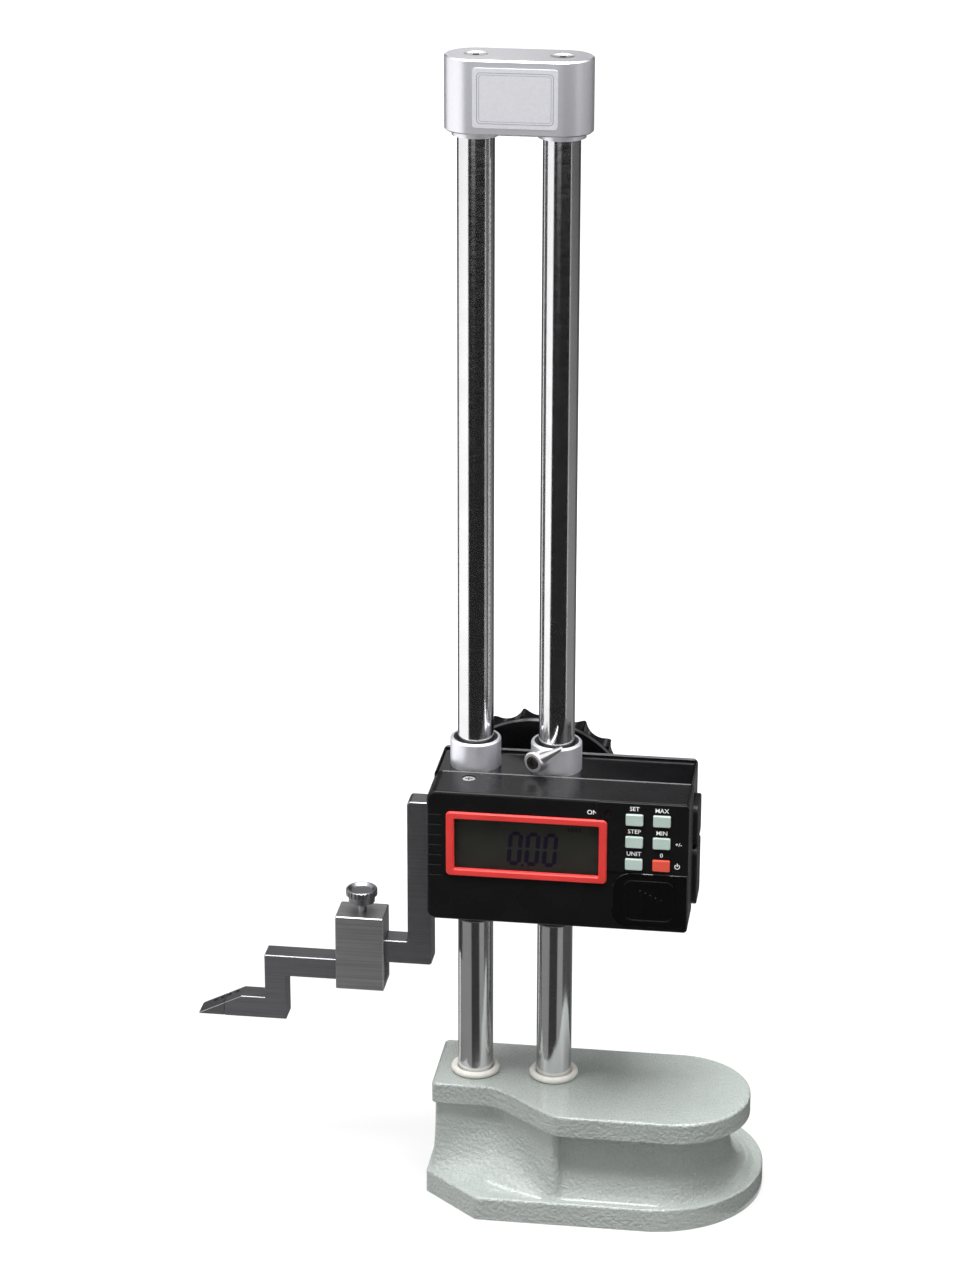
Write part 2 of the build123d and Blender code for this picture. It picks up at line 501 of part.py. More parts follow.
with BuildPart() as encoder_bushes:
    with BuildSketch(facing_front(PINION_FRONT - LOOSE_GAP)):
        with Locations((SHAFT_X, ENCODER_Z)):
            Circle(ENCODER_BUSH_RADIUS)
            Circle(ENCODER_SHAFT_RADIUS + RUNNING_GAP, mode=Mode.SUBTRACT)
    extrude(amount=PINION_FRONT - LOOSE_GAP - FRAME_FRONT)
    with BuildSketch(facing_front(FRAME_BACK)):
        with Locations((SHAFT_X, ENCODER_Z)):
            Circle(ENCODER_BUSH_RADIUS)
            Circle(ENCODER_SHAFT_RADIUS + RUNNING_GAP, mode=Mode.SUBTRACT)
    extrude(amount=FRAME_BACK - GEAR_PLATE_FRONT)
save(encoder_bushes.part, "encoder_bushes")

# ---------------------------------------------------------------- column guides
STUD_RADIUS, STUD_BOSS_RADIUS = 2.0, 3.2
SEAL_SUNK, SEAL_CHAMFER = 0.5, 0.6
BUSH_CHAMFER = 0.8
LEVER_BEARING = 59.0                        # degrees from -X round to the front
LEVER_Z = 201.8
lever_out = Vector(
    -math.cos(math.radians(LEVER_BEARING)), -math.sin(math.radians(LEVER_BEARING)), 0
)
lever_side = Vector(-lever_out.Y, lever_out.X, 0)


def lever_plane(distance):
    """Plane across the clamp lever's axis, this far out from the right column's centre."""
    return Plane(
        origin=Vector(COLUMN_X, 0, LEVER_Z) + lever_out * distance,
        x_dir=lever_side, z_dir=lever_out,
    )


STUD_BOSS_END = 11.1
for side, column_x in COLUMN_SIDES.items():
    with BuildPart() as upper_collar:
        with BuildSketch(Plane.XY.offset(FRAME_TOP - UPPER_SPIGOT_LENGTH)):
            with Locations((column_x, 0)):
                Circle(GUIDE_SPIGOT_RADIUS)
        extrude(amount=UPPER_SPIGOT_LENGTH)
        with BuildSketch(Plane.XY.offset(FRAME_TOP)):
            with Locations((column_x, 0)):
                Circle(COLLAR_RADIUS)
        extrude(amount=COLLAR_TOP - FRAME_TOP)
        fillet(edges().group_by(Axis.Z)[-1], COLLAR_ROUNDING)
        if side == "right":
            with BuildSketch(lever_plane(STUD_BOSS_END)):
                Circle(STUD_BOSS_RADIUS)
            extrude(amount=COLUMN_RADIUS - STUD_BOSS_END)
        with BuildSketch(Plane.XY.offset(FRAME_TOP - UPPER_SPIGOT_LENGTH)):
            with Locations((column_x, 0)):
                Circle(COLUMN_RADIUS + RUNNING_GAP)
        extrude(amount=COLLAR_TOP - FRAME_TOP + UPPER_SPIGOT_LENGTH, mode=Mode.SUBTRACT)
        with BuildSketch(Plane.XY.offset(COLLAR_TOP)):
            with Locations((column_x, 0)):
                Circle(SEAL_RADIUS)
        extrude(amount=-SEAL_DEPTH, mode=Mode.SUBTRACT)
        if side == "right":
            with BuildSketch(lever_plane(STUD_BOSS_END)):
                Circle(STUD_RADIUS + RUNNING_GAP)
            extrude(amount=COLUMN_RADIUS - STUD_BOSS_END - 1, mode=Mode.SUBTRACT)
    save(upper_collar.part, f"{side}_upper_collar")

    with BuildPart() as wiper_seal:
        with BuildSketch(Plane.XY.offset(COLLAR_TOP - SEAL_DEPTH)):
            with Locations((column_x, 0)):
                Circle(SEAL_RADIUS)
                Circle(COLUMN_RADIUS + LOOSE_GAP, mode=Mode.SUBTRACT)
        extrude(amount=SEAL_DEPTH - SEAL_SUNK)
        chamfer(edges().group_by(Axis.Z)[-1].sort_by(SortBy.RADIUS)[0], SEAL_CHAMFER)
    save(wiper_seal.part, f"{side}_wiper_seal")

    with BuildPart() as lower_bush:
        with BuildSketch(Plane.XY.offset(BUSH_BOTTOM)):
            with Locations((column_x, 0)):
                Circle(COLLAR_RADIUS)
        extrude(amount=FRAME_BOTTOM - BUSH_BOTTOM)
        chamfer(edges().group_by(Axis.Z)[0], BUSH_CHAMFER)
        with BuildSketch(Plane.XY.offset(FRAME_BOTTOM)):
            with Locations((column_x, 0)):
                Circle(GUIDE_SPIGOT_RADIUS)
        extrude(amount=LOWER_SPIGOT_LENGTH)
        with BuildSketch(Plane.XY.offset(BUSH_BOTTOM)):
            with Locations((column_x, 0)):
                Circle(COLUMN_RADIUS + RUNNING_GAP)
        extrude(
            amount=FRAME_BOTTOM - BUSH_BOTTOM + LOWER_SPIGOT_LENGTH, mode=Mode.SUBTRACT
        )
    save(lower_bush.part, f"{side}_lower_bush")

# ---------------------------------------------------------------- rear cover of the slider
SHAFT_BOSS_RADIUS, SHAFT_BOSS_BORE, SHAFT_BOSS_END = 10.0, 6.0, 25.6
COVER_SCREWS = ((71.0, 144.0), (71.0, 190.0))
POST_RADIUS, COVER_SCREW_RADIUS = 3.0, 1.5
COVER_SCREW_HEAD_RADIUS, COVER_SCREW_HEAD, COVER_SCREW_SINK = 2.9, 1.2, 1.4
COVER_SCREW_DEPTH = 4.0                     # beyond the joint with the display housing
PORT_Y, PORT_Z, PORT_DEPTH, PORT_HEIGHT, PORT_CORNER = -1.0, 175.5, 10.0, 7.0, 1.0
PINS, PIN_PITCH, PIN_WIDTH, PIN_HEIGHT = 4, 1.6, 0.7, 3.0
CONNECTOR_DEPTH, CONNECTOR_WELL = 8.0, 4.0
SIDE_PAD_RIGHT, PAD_ROUNDING, PAD_CORNER = 77.4, 0.7, 3.0
PAD_MIDDLE_Y, PAD_WIDTH = -1.0, 18.0
SIDE_PAD_BOTTOM, SIDE_PAD_TOP = 139.4, 165.2
PORT_COVER_BOTTOM, PORT_COVER_TOP = 166.6, 184.2
COLLAR_OPENING = COLLAR_RADIUS + LOOSE_GAP

with BuildPart() as rear_cover:
    with BuildSketch(facing_front(BODY_BACK)):
        with Locations((BODY_MIDDLE_X, SLIDER_MIDDLE_Z)):
            RectangleRounded(BODY_WIDTH, SLIDER_HEIGHT, WALL)
    extrude(amount=BODY_BACK - BODY_FRONT)
    fillet(faces().sort_by(Axis.Y)[-1].edges(), EDGE_ROUNDING)
    with BuildSketch(facing_front(BODY_BACK - WALL)):
        with Locations((BODY_MIDDLE_X, SLIDER_MIDDLE_Z)):
            Rectangle(BODY_WIDTH - 2 * WALL, SLIDER_HEIGHT - 2 * WALL)
    extrude(amount=BODY_BACK - WALL - BODY_FRONT, mode=Mode.SUBTRACT)
    # shallow tray in the top face, open to the front
    with BuildSketch(Plane.XY.offset(SLIDER_TOP)):
        with Locations((BODY_MIDDLE_X, (BODY_FRONT + BODY_BACK - TRAY_RIM) / 2)):
            Rectangle(BODY_WIDTH - 2 * TRAY_RIM, BODY_BACK - TRAY_RIM - BODY_FRONT)
    extrude(amount=-TRAY_DEPTH, mode=Mode.SUBTRACT)
    # tube round the handwheel's shaft
    with BuildSketch(facing_front(SHAFT_BOSS_END)):
        with Locations((SHAFT_X, SHAFT_Z)):
            Circle(SHAFT_BOSS_RADIUS)
    extrude(amount=SHAFT_BOSS_END - BODY_BACK + WALL)
    with BuildSketch(facing_front(SHAFT_BOSS_END)):
        with Locations((SHAFT_X, SHAFT_Z)):
            Circle(SHAFT_BOSS_BORE)
    extrude(amount=SHAFT_BOSS_END - BODY_BACK + WALL, mode=Mode.SUBTRACT)
    # openings for the guides, the jaw's pad and the data port
    with BuildSketch(Plane.XY.offset(SLIDER_BOTTOM)):
        with Locations((-COLUMN_X, 0), (COLUMN_X, 0)):
            Circle(COLLAR_OPENING)
    extrude(amount=SLIDER_HEIGHT, mode=Mode.SUBTRACT)
    with BuildSketch(facing_right(BODY_LEFT)):
        with Locations((JAW_MIDDLE, (BOSS_BOTTOM + BOSS_TOP) / 2)):
            Rectangle(JAW_DEPTH + 2 * LOOSE_GAP, BOSS_TOP - BOSS_BOTTOM + 2 * LOOSE_GAP)
    extrude(amount=WALL, mode=Mode.SUBTRACT)
    with BuildSketch(facing_right(BODY_RIGHT)):
        with Locations((PORT_Y, PORT_Z)):
            RectangleRounded(PORT_DEPTH, PORT_HEIGHT, PORT_CORNER)
    extrude(amount=-WALL, mode=Mode.SUBTRACT)
    # screw posts in the corners, drilled from the back
    with BuildSketch(facing_front(BODY_BACK - WALL)):
        with Locations(*COVER_SCREWS):
            Circle(POST_RADIUS)
    extrude(amount=BODY_BACK - WALL - BODY_FRONT)
    with BuildSketch(facing_front(BODY_BACK)):
        with Locations(*COVER_SCREWS):
            Circle(COVER_SCREW_RADIUS + LOOSE_GAP)
    extrude(amount=BODY_BACK - BODY_FRONT, mode=Mode.SUBTRACT)
    with BuildSketch(facing_front(BODY_BACK)):
        with Locations(*COVER_SCREWS):
            Circle(COVER_SCREW_HEAD_RADIUS + 2 * LOOSE_GAP)
    extrude(amount=COVER_SCREW_SINK, mode=Mode.SUBTRACT)
save(rear_cover.part, "rear_cover")

with BuildPart() as rear_cover_screws:
    screw_seat = BODY_BACK - COVER_SCREW_SINK
    with BuildSketch(facing_front(screw_seat + COVER_SCREW_HEAD)):
        with Locations(*COVER_SCREWS):
            Circle(COVER_SCREW_HEAD_RADIUS)
    extrude(amount=COVER_SCREW_HEAD)
    with BuildSketch(facing_front(screw_seat)):
        with Locations(*COVER_SCREWS):
            Circle(COVER_SCREW_RADIUS)
    extrude(amount=screw_seat - BODY_FRONT + COVER_SCREW_DEPTH)
    with BuildSketch(facing_front(BODY_BACK)):
        with Locations(*COVER_SCREWS):
            Rectangle(CROSS_LENGTH, CROSS_WIDTH)
            Rectangle(CROSS_WIDTH, CROSS_LENGTH)
    extrude(amount=CROSS_DEPTH, mode=Mode.SUBTRACT)
save(rear_cover_screws.part, "rear_cover_screws")

with BuildPart() as side_pad:
    with BuildSketch(facing_right(BODY_RIGHT)):
        with Locations((PAD_MIDDLE_Y, (SIDE_PAD_BOTTOM + SIDE_PAD_TOP) / 2)):
            RectangleRounded(PAD_WIDTH, SIDE_PAD_TOP - SIDE_PAD_BOTTOM, PAD_CORNER)
    extrude(amount=SIDE_PAD_RIGHT - BODY_RIGHT)
    fillet(faces().sort_by(Axis.X)[-1].edges(), PAD_ROUNDING)
save(side_pad.part, "side_pad")

with BuildPart() as data_connector:
    with BuildSketch(facing_right(BODY_RIGHT - WALL)):
        with Locations((PORT_Y, PORT_Z)):
            Rectangle(PORT_DEPTH, PORT_HEIGHT)
    extrude(amount=-CONNECTOR_DEPTH)
    with BuildSketch(facing_right(BODY_RIGHT - WALL)):
        with Locations((PORT_Y, PORT_Z)):
            Rectangle(PORT_DEPTH - WALL, PORT_HEIGHT - WALL)
            with GridLocations(PIN_PITCH, 0, PINS, 1):
                Rectangle(PIN_WIDTH, PIN_HEIGHT, mode=Mode.SUBTRACT)
    extrude(amount=-CONNECTOR_WELL, mode=Mode.SUBTRACT)
save(data_connector.part, "data_connector")

with BuildPart() as data_port_cover:
    with BuildSketch(facing_right(BODY_RIGHT + RUNNING_GAP)):
        with Locations((PAD_MIDDLE_Y, (PORT_COVER_BOTTOM + PORT_COVER_TOP) / 2)):
            RectangleRounded(PAD_WIDTH, PORT_COVER_TOP - PORT_COVER_BOTTOM, PAD_CORNER)
    extrude(amount=SIDE_PAD_RIGHT - BODY_RIGHT - RUNNING_GAP)
    fillet(faces().sort_by(Axis.X)[-1].edges(), PAD_ROUNDING)
    with BuildSketch(facing_right(BODY_RIGHT + RUNNING_GAP)):
        with Locations((PORT_Y, PORT_Z)):
            RectangleRounded(PORT_DEPTH - 2 * LOOSE_GAP, PORT_HEIGHT - 2 * LOOSE_GAP, PORT_CORNER)
    extrude(amount=-WALL + 2 * LOOSE_GAP)
save(data_port_cover.part, "data_port_cover")

# ---------------------------------------------------------------- display housing
LENS_X, LENS_Z, LENS_RADIUS, LENS_SUNK, LENS_FLANGE = 42.5, 190.4, 1.6, 0.4, 0.8
SCREW_HEAD_RADIUS, SCREW_HEAD, SCREW_RECESS_RADIUS, SCREW_RECESS_DEPTH = 2.6, 1.0, 2.95, 1.3
HOUSING_CORNER_LEFT, HOUSING_CORNER_RIGHT = 4.0, 1.5
PANEL_INSET, PANEL_CORNER, PANEL_CHAMFER = 0.2, 1.5, 0.25
BEZEL_CORNER, BEZEL_CHAMFER, SCREEN_CORNER = 1.8, 0.5, 0.6
WINDOW_MARGIN = 1.2                         # that the window reaches behind the bezel
KEY_CORNER, KEY_ROUNDING, KEY_FLANGE = 0.6, 0.4, 0.7
FRONT_POST_LENGTH = 6.0
TONGUE_THICKNESS = 0.8
cover_right = HOUSING_RIGHT - LOOSE_GAP
cover_middle = ((COVER_LEFT + cover_right) / 2, (COVER_BOTTOM + COVER_TOP) / 2)

with BuildPart() as display_housing:
    with BuildSketch(facing_front(BODY_FRONT)):
        with BuildLine():
            FilletPolyline(
                (BODY_LEFT, SLIDER_BOTTOM), (HOUSING_RIGHT, SLIDER_BOTTOM),
                (HOUSING_RIGHT, SLIDER_TOP), (BODY_LEFT, SLIDER_TOP),
                radius=[
                    HOUSING_CORNER_LEFT, HOUSING_CORNER_RIGHT,
                    HOUSING_CORNER_RIGHT, HOUSING_CORNER_LEFT,
                ],
                close=True,
            )
        make_face()
    extrude(amount=BODY_FRONT - HOUSING_FRONT)
    fillet(faces().sort_by(Axis.Y)[0].edges(), EDGE_ROUNDING)
    fillet(faces().sort_by(Axis.Y)[-1].edges(), SEAM_ROUNDING)
    # raised panel of the keys, level with the battery cover
    with BuildSketch(facing_front(HOUSING_FRONT + EDGE_ROUNDING)):
        panel_top = SLIDER_TOP - PANEL_INSET
        with Locations(((PANEL_LEFT + HOUSING_RIGHT) / 2, (PANEL_BOTTOM + panel_top) / 2)):
            RectangleRounded(HOUSING_RIGHT - PANEL_LEFT, panel_top - PANEL_BOTTOM, PANEL_CORNER)
    extrude(amount=HOUSING_FRONT + EDGE_ROUNDING - PANEL_FRONT)
    chamfer(faces().sort_by(Axis.Y)[0].edges(), PANEL_CHAMFER)
    # inside
    with BuildSketch(facing_front(BODY_FRONT)):
        with Locations((HOUSING_MIDDLE_X, SLIDER_MIDDLE_Z)):
            RectangleRounded(HOUSING_WIDTH - 2 * WALL, SLIDER_HEIGHT - 2 * WALL, WALL)
    extrude(amount=BODY_FRONT - HOUSING_INSIDE, mode=Mode.SUBTRACT)
    # display opening with the bezel's seat round it
    with BuildSketch(facing_front(BEZEL_SEAT)):
        with Locations((DISPLAY_X, DISPLAY_Z)):
            RectangleRounded(BEZEL_WIDTH + LOOSE_GAP, BEZEL_HEIGHT + LOOSE_GAP, BEZEL_CORNER)
    extrude(amount=BEZEL_SEAT - BEZEL_FRONT, mode=Mode.SUBTRACT)
    with BuildSketch(facing_front(HOUSING_INSIDE)):
        with Locations((DISPLAY_X, DISPLAY_Z)):
            Rectangle(
                SCREEN_WIDTH + 2 * WINDOW_MARGIN + LOOSE_GAP,
                SCREEN_HEIGHT + 2 * WINDOW_MARGIN + LOOSE_GAP,
            )
        for key_x in KEY_COLUMNS.values():
            for key_z in KEY_ROWS.values():
                with Locations((key_x, key_z)):
                    RectangleRounded(
                        KEY_WIDTH + 2 * LOOSE_GAP, KEY_HEIGHT + 2 * LOOSE_GAP, KEY_CORNER
                    )
        with Locations((LENS_X, LENS_Z)):
            Circle(LENS_RADIUS)
    extrude(amount=HOUSING_INSIDE - PANEL_FRONT, mode=Mode.SUBTRACT)
    # battery compartment: an opening that runs out to the right, with a groove above and below
    with BuildSketch(facing_front(HOUSING_INSIDE)):
        with BuildLine():
            FilletPolyline(
                (COVER_LEFT - LOOSE_GAP, COVER_BOTTOM - LOOSE_GAP),
                (HOUSING_RIGHT + 1, COVER_BOTTOM - LOOSE_GAP),
                (HOUSING_RIGHT + 1, COVER_TOP + LOOSE_GAP),
                (COVER_LEFT - LOOSE_GAP, COVER_TOP + LOOSE_GAP),
                radius=[COVER_CORNER, 0, 0, COVER_CORNER], close=True,
            )
        make_face()
    extrude(amount=HOUSING_INSIDE - PANEL_FRONT, mode=Mode.SUBTRACT)
    with BuildSketch(facing_front(COVER_BACK + LOOSE_GAP)):
        with Locations(((COVER_LEFT + COVER_CORNER + HOUSING_RIGHT + 1) / 2, cover_middle[1])):
            Rectangle(
                HOUSING_RIGHT + 1 - COVER_LEFT - COVER_CORNER,
                COVER_TOP - COVER_BOTTOM + 2 * COVER_TONGUE + 2 * LOOSE_GAP,
            )
    extrude(amount=TONGUE_THICKNESS + 2 * LOOSE_GAP, mode=Mode.SUBTRACT)
    # finger grooves round the left front edge: each steps in under its top and slopes back out
    for groove in range(GRIP_GROOVES):
        groove_z = GRIP_BOTTOM + groove * GRIP_PITCH
        with BuildSketch(facing_right(BODY_LEFT - 1)):
            with BuildLine():
                Polyline(
                    (HOUSING_FRONT - GRIP_DEPTH, groove_z - GRIP_HEIGHT),
                    (HOUSING_FRONT + GRIP_DEPTH, groove_z),
                    (HOUSING_FRONT - GRIP_DEPTH, groove_z), close=True,
                )
            make_face()
        extrude(amount=GRIP_WIDTH + 1, mode=Mode.SUBTRACT)
        with BuildSketch(facing_front(HOUSING_FRONT + GRIP_WIDTH)):
            with BuildLine():
                Polyline(
                    (BODY_LEFT - GRIP_DEPTH, groove_z - GRIP_HEIGHT),
                    (BODY_LEFT + GRIP_DEPTH, groove_z),
                    (BODY_LEFT - GRIP_DEPTH, groove_z), close=True,
                )
            make_face()
        extrude(amount=GRIP_WIDTH + 1, mode=Mode.SUBTRACT)
    # recess and hole of the housing screw, and two posts for the screws from the back
    with BuildSketch(Plane.XY.offset(SLIDER_TOP)):
        with Locations((LUG_X, LUG_Y)):
            Circle(SCREW_RECESS_RADIUS)
    extrude(amount=-SCREW_RECESS_DEPTH, mode=Mode.SUBTRACT)
    with BuildSketch(Plane.XY.offset(SLIDER_TOP)):
        with Locations((LUG_X, LUG_Y)):
            Circle(HOUSING_SCREW_RADIUS + LOOSE_GAP)
    extrude(amount=-WALL, mode=Mode.SUBTRACT)
    with BuildSketch(facing_front(BODY_FRONT)):
        with Locations(*COVER_SCREWS):
            Circle(POST_RADIUS)
    extrude(amount=FRONT_POST_LENGTH)
    with BuildSketch(facing_front(BODY_FRONT)):
        with Locations(*COVER_SCREWS):
            Circle(COVER_SCREW_RADIUS)
    extrude(amount=COVER_SCREW_DEPTH + 1, mode=Mode.SUBTRACT)
save(display_housing.part, "display_housing")

with BuildPart() as housing_screw:
    with BuildSketch(Plane.XY.offset(SLIDER_TOP - SCREW_RECESS_DEPTH)):
        with Locations((LUG_X, LUG_Y)):
            Circle(SCREW_HEAD_RADIUS)
    extrude(amount=SCREW_HEAD)
    with BuildSketch(Plane.XY.offset(SLIDER_TOP - SCREW_RECESS_DEPTH)):
        with Locations((LUG_X, LUG_Y)):
            Circle(HOUSING_SCREW_RADIUS)
    extrude(amount=-HOUSING_SCREW_DEPTH)
    with BuildSketch(Plane.XY.offset(SLIDER_TOP)):
        with Locations((LUG_X, LUG_Y)):
            Rectangle(CROSS_LENGTH, CROSS_WIDTH)
            Rectangle(CROSS_WIDTH, CROSS_LENGTH)
    extrude(amount=-CROSS_DEPTH, mode=Mode.SUBTRACT)
save(housing_screw.part, "housing_screw")

with BuildPart() as display_bezel:
    with BuildSketch(facing_front(BEZEL_SEAT)):
        with Locations((DISPLAY_X, DISPLAY_Z)):
            RectangleRounded(BEZEL_WIDTH, BEZEL_HEIGHT, BEZEL_CORNER)
            RectangleRounded(SCREEN_WIDTH, SCREEN_HEIGHT, SCREEN_CORNER, mode=Mode.SUBTRACT)
    extrude(amount=BEZEL_SEAT - BEZEL_FRONT)
    chamfer(faces().sort_by(Axis.Y)[0].edges(), BEZEL_CHAMFER)
save(display_bezel.part, "display_bezel")

WINDOW_BACK = -33.2
with BuildPart() as display_window:
    with BuildSketch(facing_front(WINDOW_BACK)):
        with Locations((DISPLAY_X, DISPLAY_Z)):
            Rectangle(SCREEN_WIDTH + 2 * WINDOW_MARGIN, SCREEN_HEIGHT + 2 * WINDOW_MARGIN)
    extrude(amount=WINDOW_BACK - BEZEL_SEAT)
save(display_window.part, "display_window")

LCD_BACK, BOARD_FRONT = -30.4, -27.6
LCD_MARGIN, LCD_STEP, CONNECTOR_STRIP = 2.0, 1.0, 2.0
with BuildPart() as lcd_module:
    with BuildSketch(facing_front(LCD_BACK)):
        with Locations((DISPLAY_X, DISPLAY_Z)):
            Rectangle(SCREEN_WIDTH + 2 * LCD_MARGIN, SCREEN_HEIGHT + 2 * LCD_MARGIN)
    extrude(amount=LCD_BACK - HOUSING_INSIDE)
    with BuildSketch(facing_front(HOUSING_INSIDE)):
        with Locations((DISPLAY_X, DISPLAY_Z)):
            Rectangle(SCREEN_WIDTH + 2 * LCD_STEP, SCREEN_HEIGHT + 2 * LCD_STEP)
    extrude(amount=HOUSING_INSIDE - WINDOW_BACK)
    with BuildSketch(facing_front(BOARD_FRONT)):
        with Locations((DISPLAY_X, DISPLAY_Z)):
            with GridLocations(0, SCREEN_HEIGHT, 1, 2):
                Rectangle(SCREEN_WIDTH, CONNECTOR_STRIP)
    extrude(amount=BOARD_FRONT - LCD_BACK)
save(lcd_module.part, "lcd_module")

BOARD_BACK = BOARD_FRONT + 1.6
CHIP_HEIGHT = 1.8
PROCESSOR_SPOT, PROCESSOR_SIZE = (30.0, 172.0), 12.0
MEMORY_SPOT, MEMORY_WIDTH, MEMORY_HEIGHT = (48.0, 170.0), 7.0, 10.0
BOARD_LEFT, BOARD_RIGHT, BOARD_BOTTOM, BOARD_TOP = -29.0, 72.0, 142.0, 192.6
with BuildPart() as circuit_board:
    with BuildSketch(facing_front(BOARD_BACK)):
        with Locations(((BOARD_LEFT + BOARD_RIGHT) / 2, (BOARD_BOTTOM + BOARD_TOP) / 2)):
            Rectangle(BOARD_RIGHT - BOARD_LEFT, BOARD_TOP - BOARD_BOTTOM)
    extrude(amount=BOARD_BACK - BOARD_FRONT)
    with BuildSketch(facing_front(BOARD_BACK + CHIP_HEIGHT)):
        with Locations(PROCESSOR_SPOT):
            Rectangle(PROCESSOR_SIZE, PROCESSOR_SIZE)
        with Locations(MEMORY_SPOT):
            Rectangle(MEMORY_WIDTH, MEMORY_HEIGHT)
    extrude(amount=CHIP_HEIGHT)
save(circuit_board.part, "circuit_board")

MAT_FRONT, MAT_WIDTH, MAT_HEIGHT, MAT_CORNER = -30.6, 24.0, 27.0, 1.5
DOME_RADIUS = 2.0
KEY_BACK = -32.2
DOME_TOP = KEY_BACK + KEY_TRAVEL + LOOSE_GAP
with BuildPart() as keypad_mat:
    with BuildSketch(facing_front(BOARD_FRONT)):
        with Locations((
            sum(KEY_COLUMNS.values()) / 2, sum(KEY_ROWS.values()) / 3
        )):
            RectangleRounded(MAT_WIDTH, MAT_HEIGHT, MAT_CORNER)
    extrude(amount=BOARD_FRONT - MAT_FRONT)
    for key_x in KEY_COLUMNS.values():
        for key_z in KEY_ROWS.values():
            with BuildSketch(facing_front(MAT_FRONT)):
                with Locations((key_x, key_z)):
                    Circle(DOME_RADIUS)
            extrude(amount=MAT_FRONT - DOME_TOP)
save(keypad_mat.part, "keypad_mat")

with BuildPart() as status_lens:
    with BuildSketch(facing_front(HOUSING_INSIDE)):
        with Locations((LENS_X, LENS_Z)):
            Circle(LENS_RADIUS)
    extrude(amount=HOUSING_INSIDE - PANEL_FRONT - LENS_SUNK)
    with BuildSketch(facing_front(HOUSING_INSIDE + LENS_FLANGE)):
        with Locations((LENS_X, LENS_Z)):
            Circle(LENS_RADIUS + LENS_FLANGE)
    extrude(amount=LENS_FLANGE)
save(status_lens.part, "status_lens")

for row, key_z in KEY_ROWS.items():
    for column_side, key_x in KEY_COLUMNS.items():
        with BuildPart() as key:
            with BuildSketch(facing_front(KEY_BACK)):
                with Locations((key_x, key_z)):
                    RectangleRounded(KEY_WIDTH, KEY_HEIGHT, KEY_CORNER)
            extrude(amount=KEY_BACK - KEY_FRONT)
            fillet(faces().sort_by(Axis.Y)[0].edges(), KEY_ROUNDING)
            with BuildSketch(facing_front(KEY_BACK)):
                with Locations((key_x, key_z)):
                    Rectangle(KEY_WIDTH + 2 * KEY_FLANGE, KEY_HEIGHT + 2 * KEY_FLANGE)
            extrude(amount=KEY_BACK - HOUSING_INSIDE - LOOSE_GAP)
        save(key.part, f"key_{row}_{column_side}")

# ---------------------------------------------------------------- battery and its cover
THUMB_FRAME_WIDTH, THUMB_FRAME_HEIGHT, THUMB_FRAME_CORNER = 20.9, 18.7, 3.6
THUMB_FRAME_RIB, THUMB_FRAME_RISE = 1.0, 0.6
ARROW_RIBS, ARROW_LEFT, ARROW_PITCH, ARROW_RIB_WIDTH, ARROW_RISE = 5, -3.4, 2.1, 0.9, 0.4
ARROW_HEIGHT, ARROW_TAPER = 10.0, 1.9
with BuildPart() as battery_cover:
    with BuildSketch(facing_front(COVER_BACK)):
        with BuildLine():
            FilletPolyline(
                (COVER_LEFT, COVER_BOTTOM), (cover_right, COVER_BOTTOM),
                (cover_right, COVER_TOP), (COVER_LEFT, COVER_TOP),
                radius=[COVER_CORNER, 0, 0, COVER_CORNER], close=True,
            )
        make_face()
    extrude(amount=COVER_BACK - COVER_FRONT)
    chamfer(faces().sort_by(Axis.Y)[0].edges(), EDGE_BREAK)
    with BuildSketch(facing_front(COVER_BACK)):
        with Locations(((COVER_LEFT + COVER_CORNER + 1 + cover_right) / 2, cover_middle[1])):
            Rectangle(
                cover_right - COVER_LEFT - COVER_CORNER - 1,
                COVER_TOP - COVER_BOTTOM + 2 * COVER_TONGUE,
            )
    extrude(amount=TONGUE_THICKNESS)
    # raised thumb frame and the arrow of ribs that shows which way the cover slides
    with BuildSketch(facing_front(COVER_FRONT)):
        with Locations((BATTERY_X, BATTERY_Z)):
            RectangleRounded(THUMB_FRAME_WIDTH, THUMB_FRAME_HEIGHT, THUMB_FRAME_CORNER)
            RectangleRounded(
                THUMB_FRAME_WIDTH - 2 * THUMB_FRAME_RIB, THUMB_FRAME_HEIGHT - 2 * THUMB_FRAME_RIB,
                THUMB_FRAME_CORNER - THUMB_FRAME_RIB, mode=Mode.SUBTRACT,
            )
    extrude(amount=THUMB_FRAME_RISE)
    with BuildSketch(facing_front(COVER_FRONT)):
        for rib in range(ARROW_RIBS):
            with Locations((BATTERY_X + ARROW_LEFT + ARROW_PITCH * rib, BATTERY_Z)):
                Rectangle(ARROW_RIB_WIDTH, ARROW_HEIGHT - ARROW_TAPER * rib)
    extrude(amount=ARROW_RISE)
save(battery_cover.part, "battery_cover")

HOLDER_FRONT, HOLDER_FLOOR = HOUSING_INSIDE, -28.9
HOLDER_WIDTH, HOLDER_HEIGHT, HOLDER_CORNER = 26.0, 21.9, 1.5
FINGER_GAP_WIDTH, FINGER_GAP_HEIGHT = 30.0, 8.0
with BuildPart() as battery_holder:
    with BuildSketch(facing_front(BOARD_FRONT)):
        with Locations((BATTERY_X, BATTERY_Z)):
            RectangleRounded(HOLDER_WIDTH, HOLDER_HEIGHT, HOLDER_CORNER)
    extrude(amount=BOARD_FRONT - HOLDER_FRONT)
    with BuildSketch(facing_front(HOLDER_FLOOR)):
        with Locations((BATTERY_X, BATTERY_Z)):
            Circle(BATTERY_RADIUS + LOOSE_GAP)
            Rectangle(FINGER_GAP_WIDTH, FINGER_GAP_HEIGHT)
    extrude(amount=HOLDER_FLOOR - HOLDER_FRONT, mode=Mode.SUBTRACT)
save(battery_holder.part, "battery_holder")

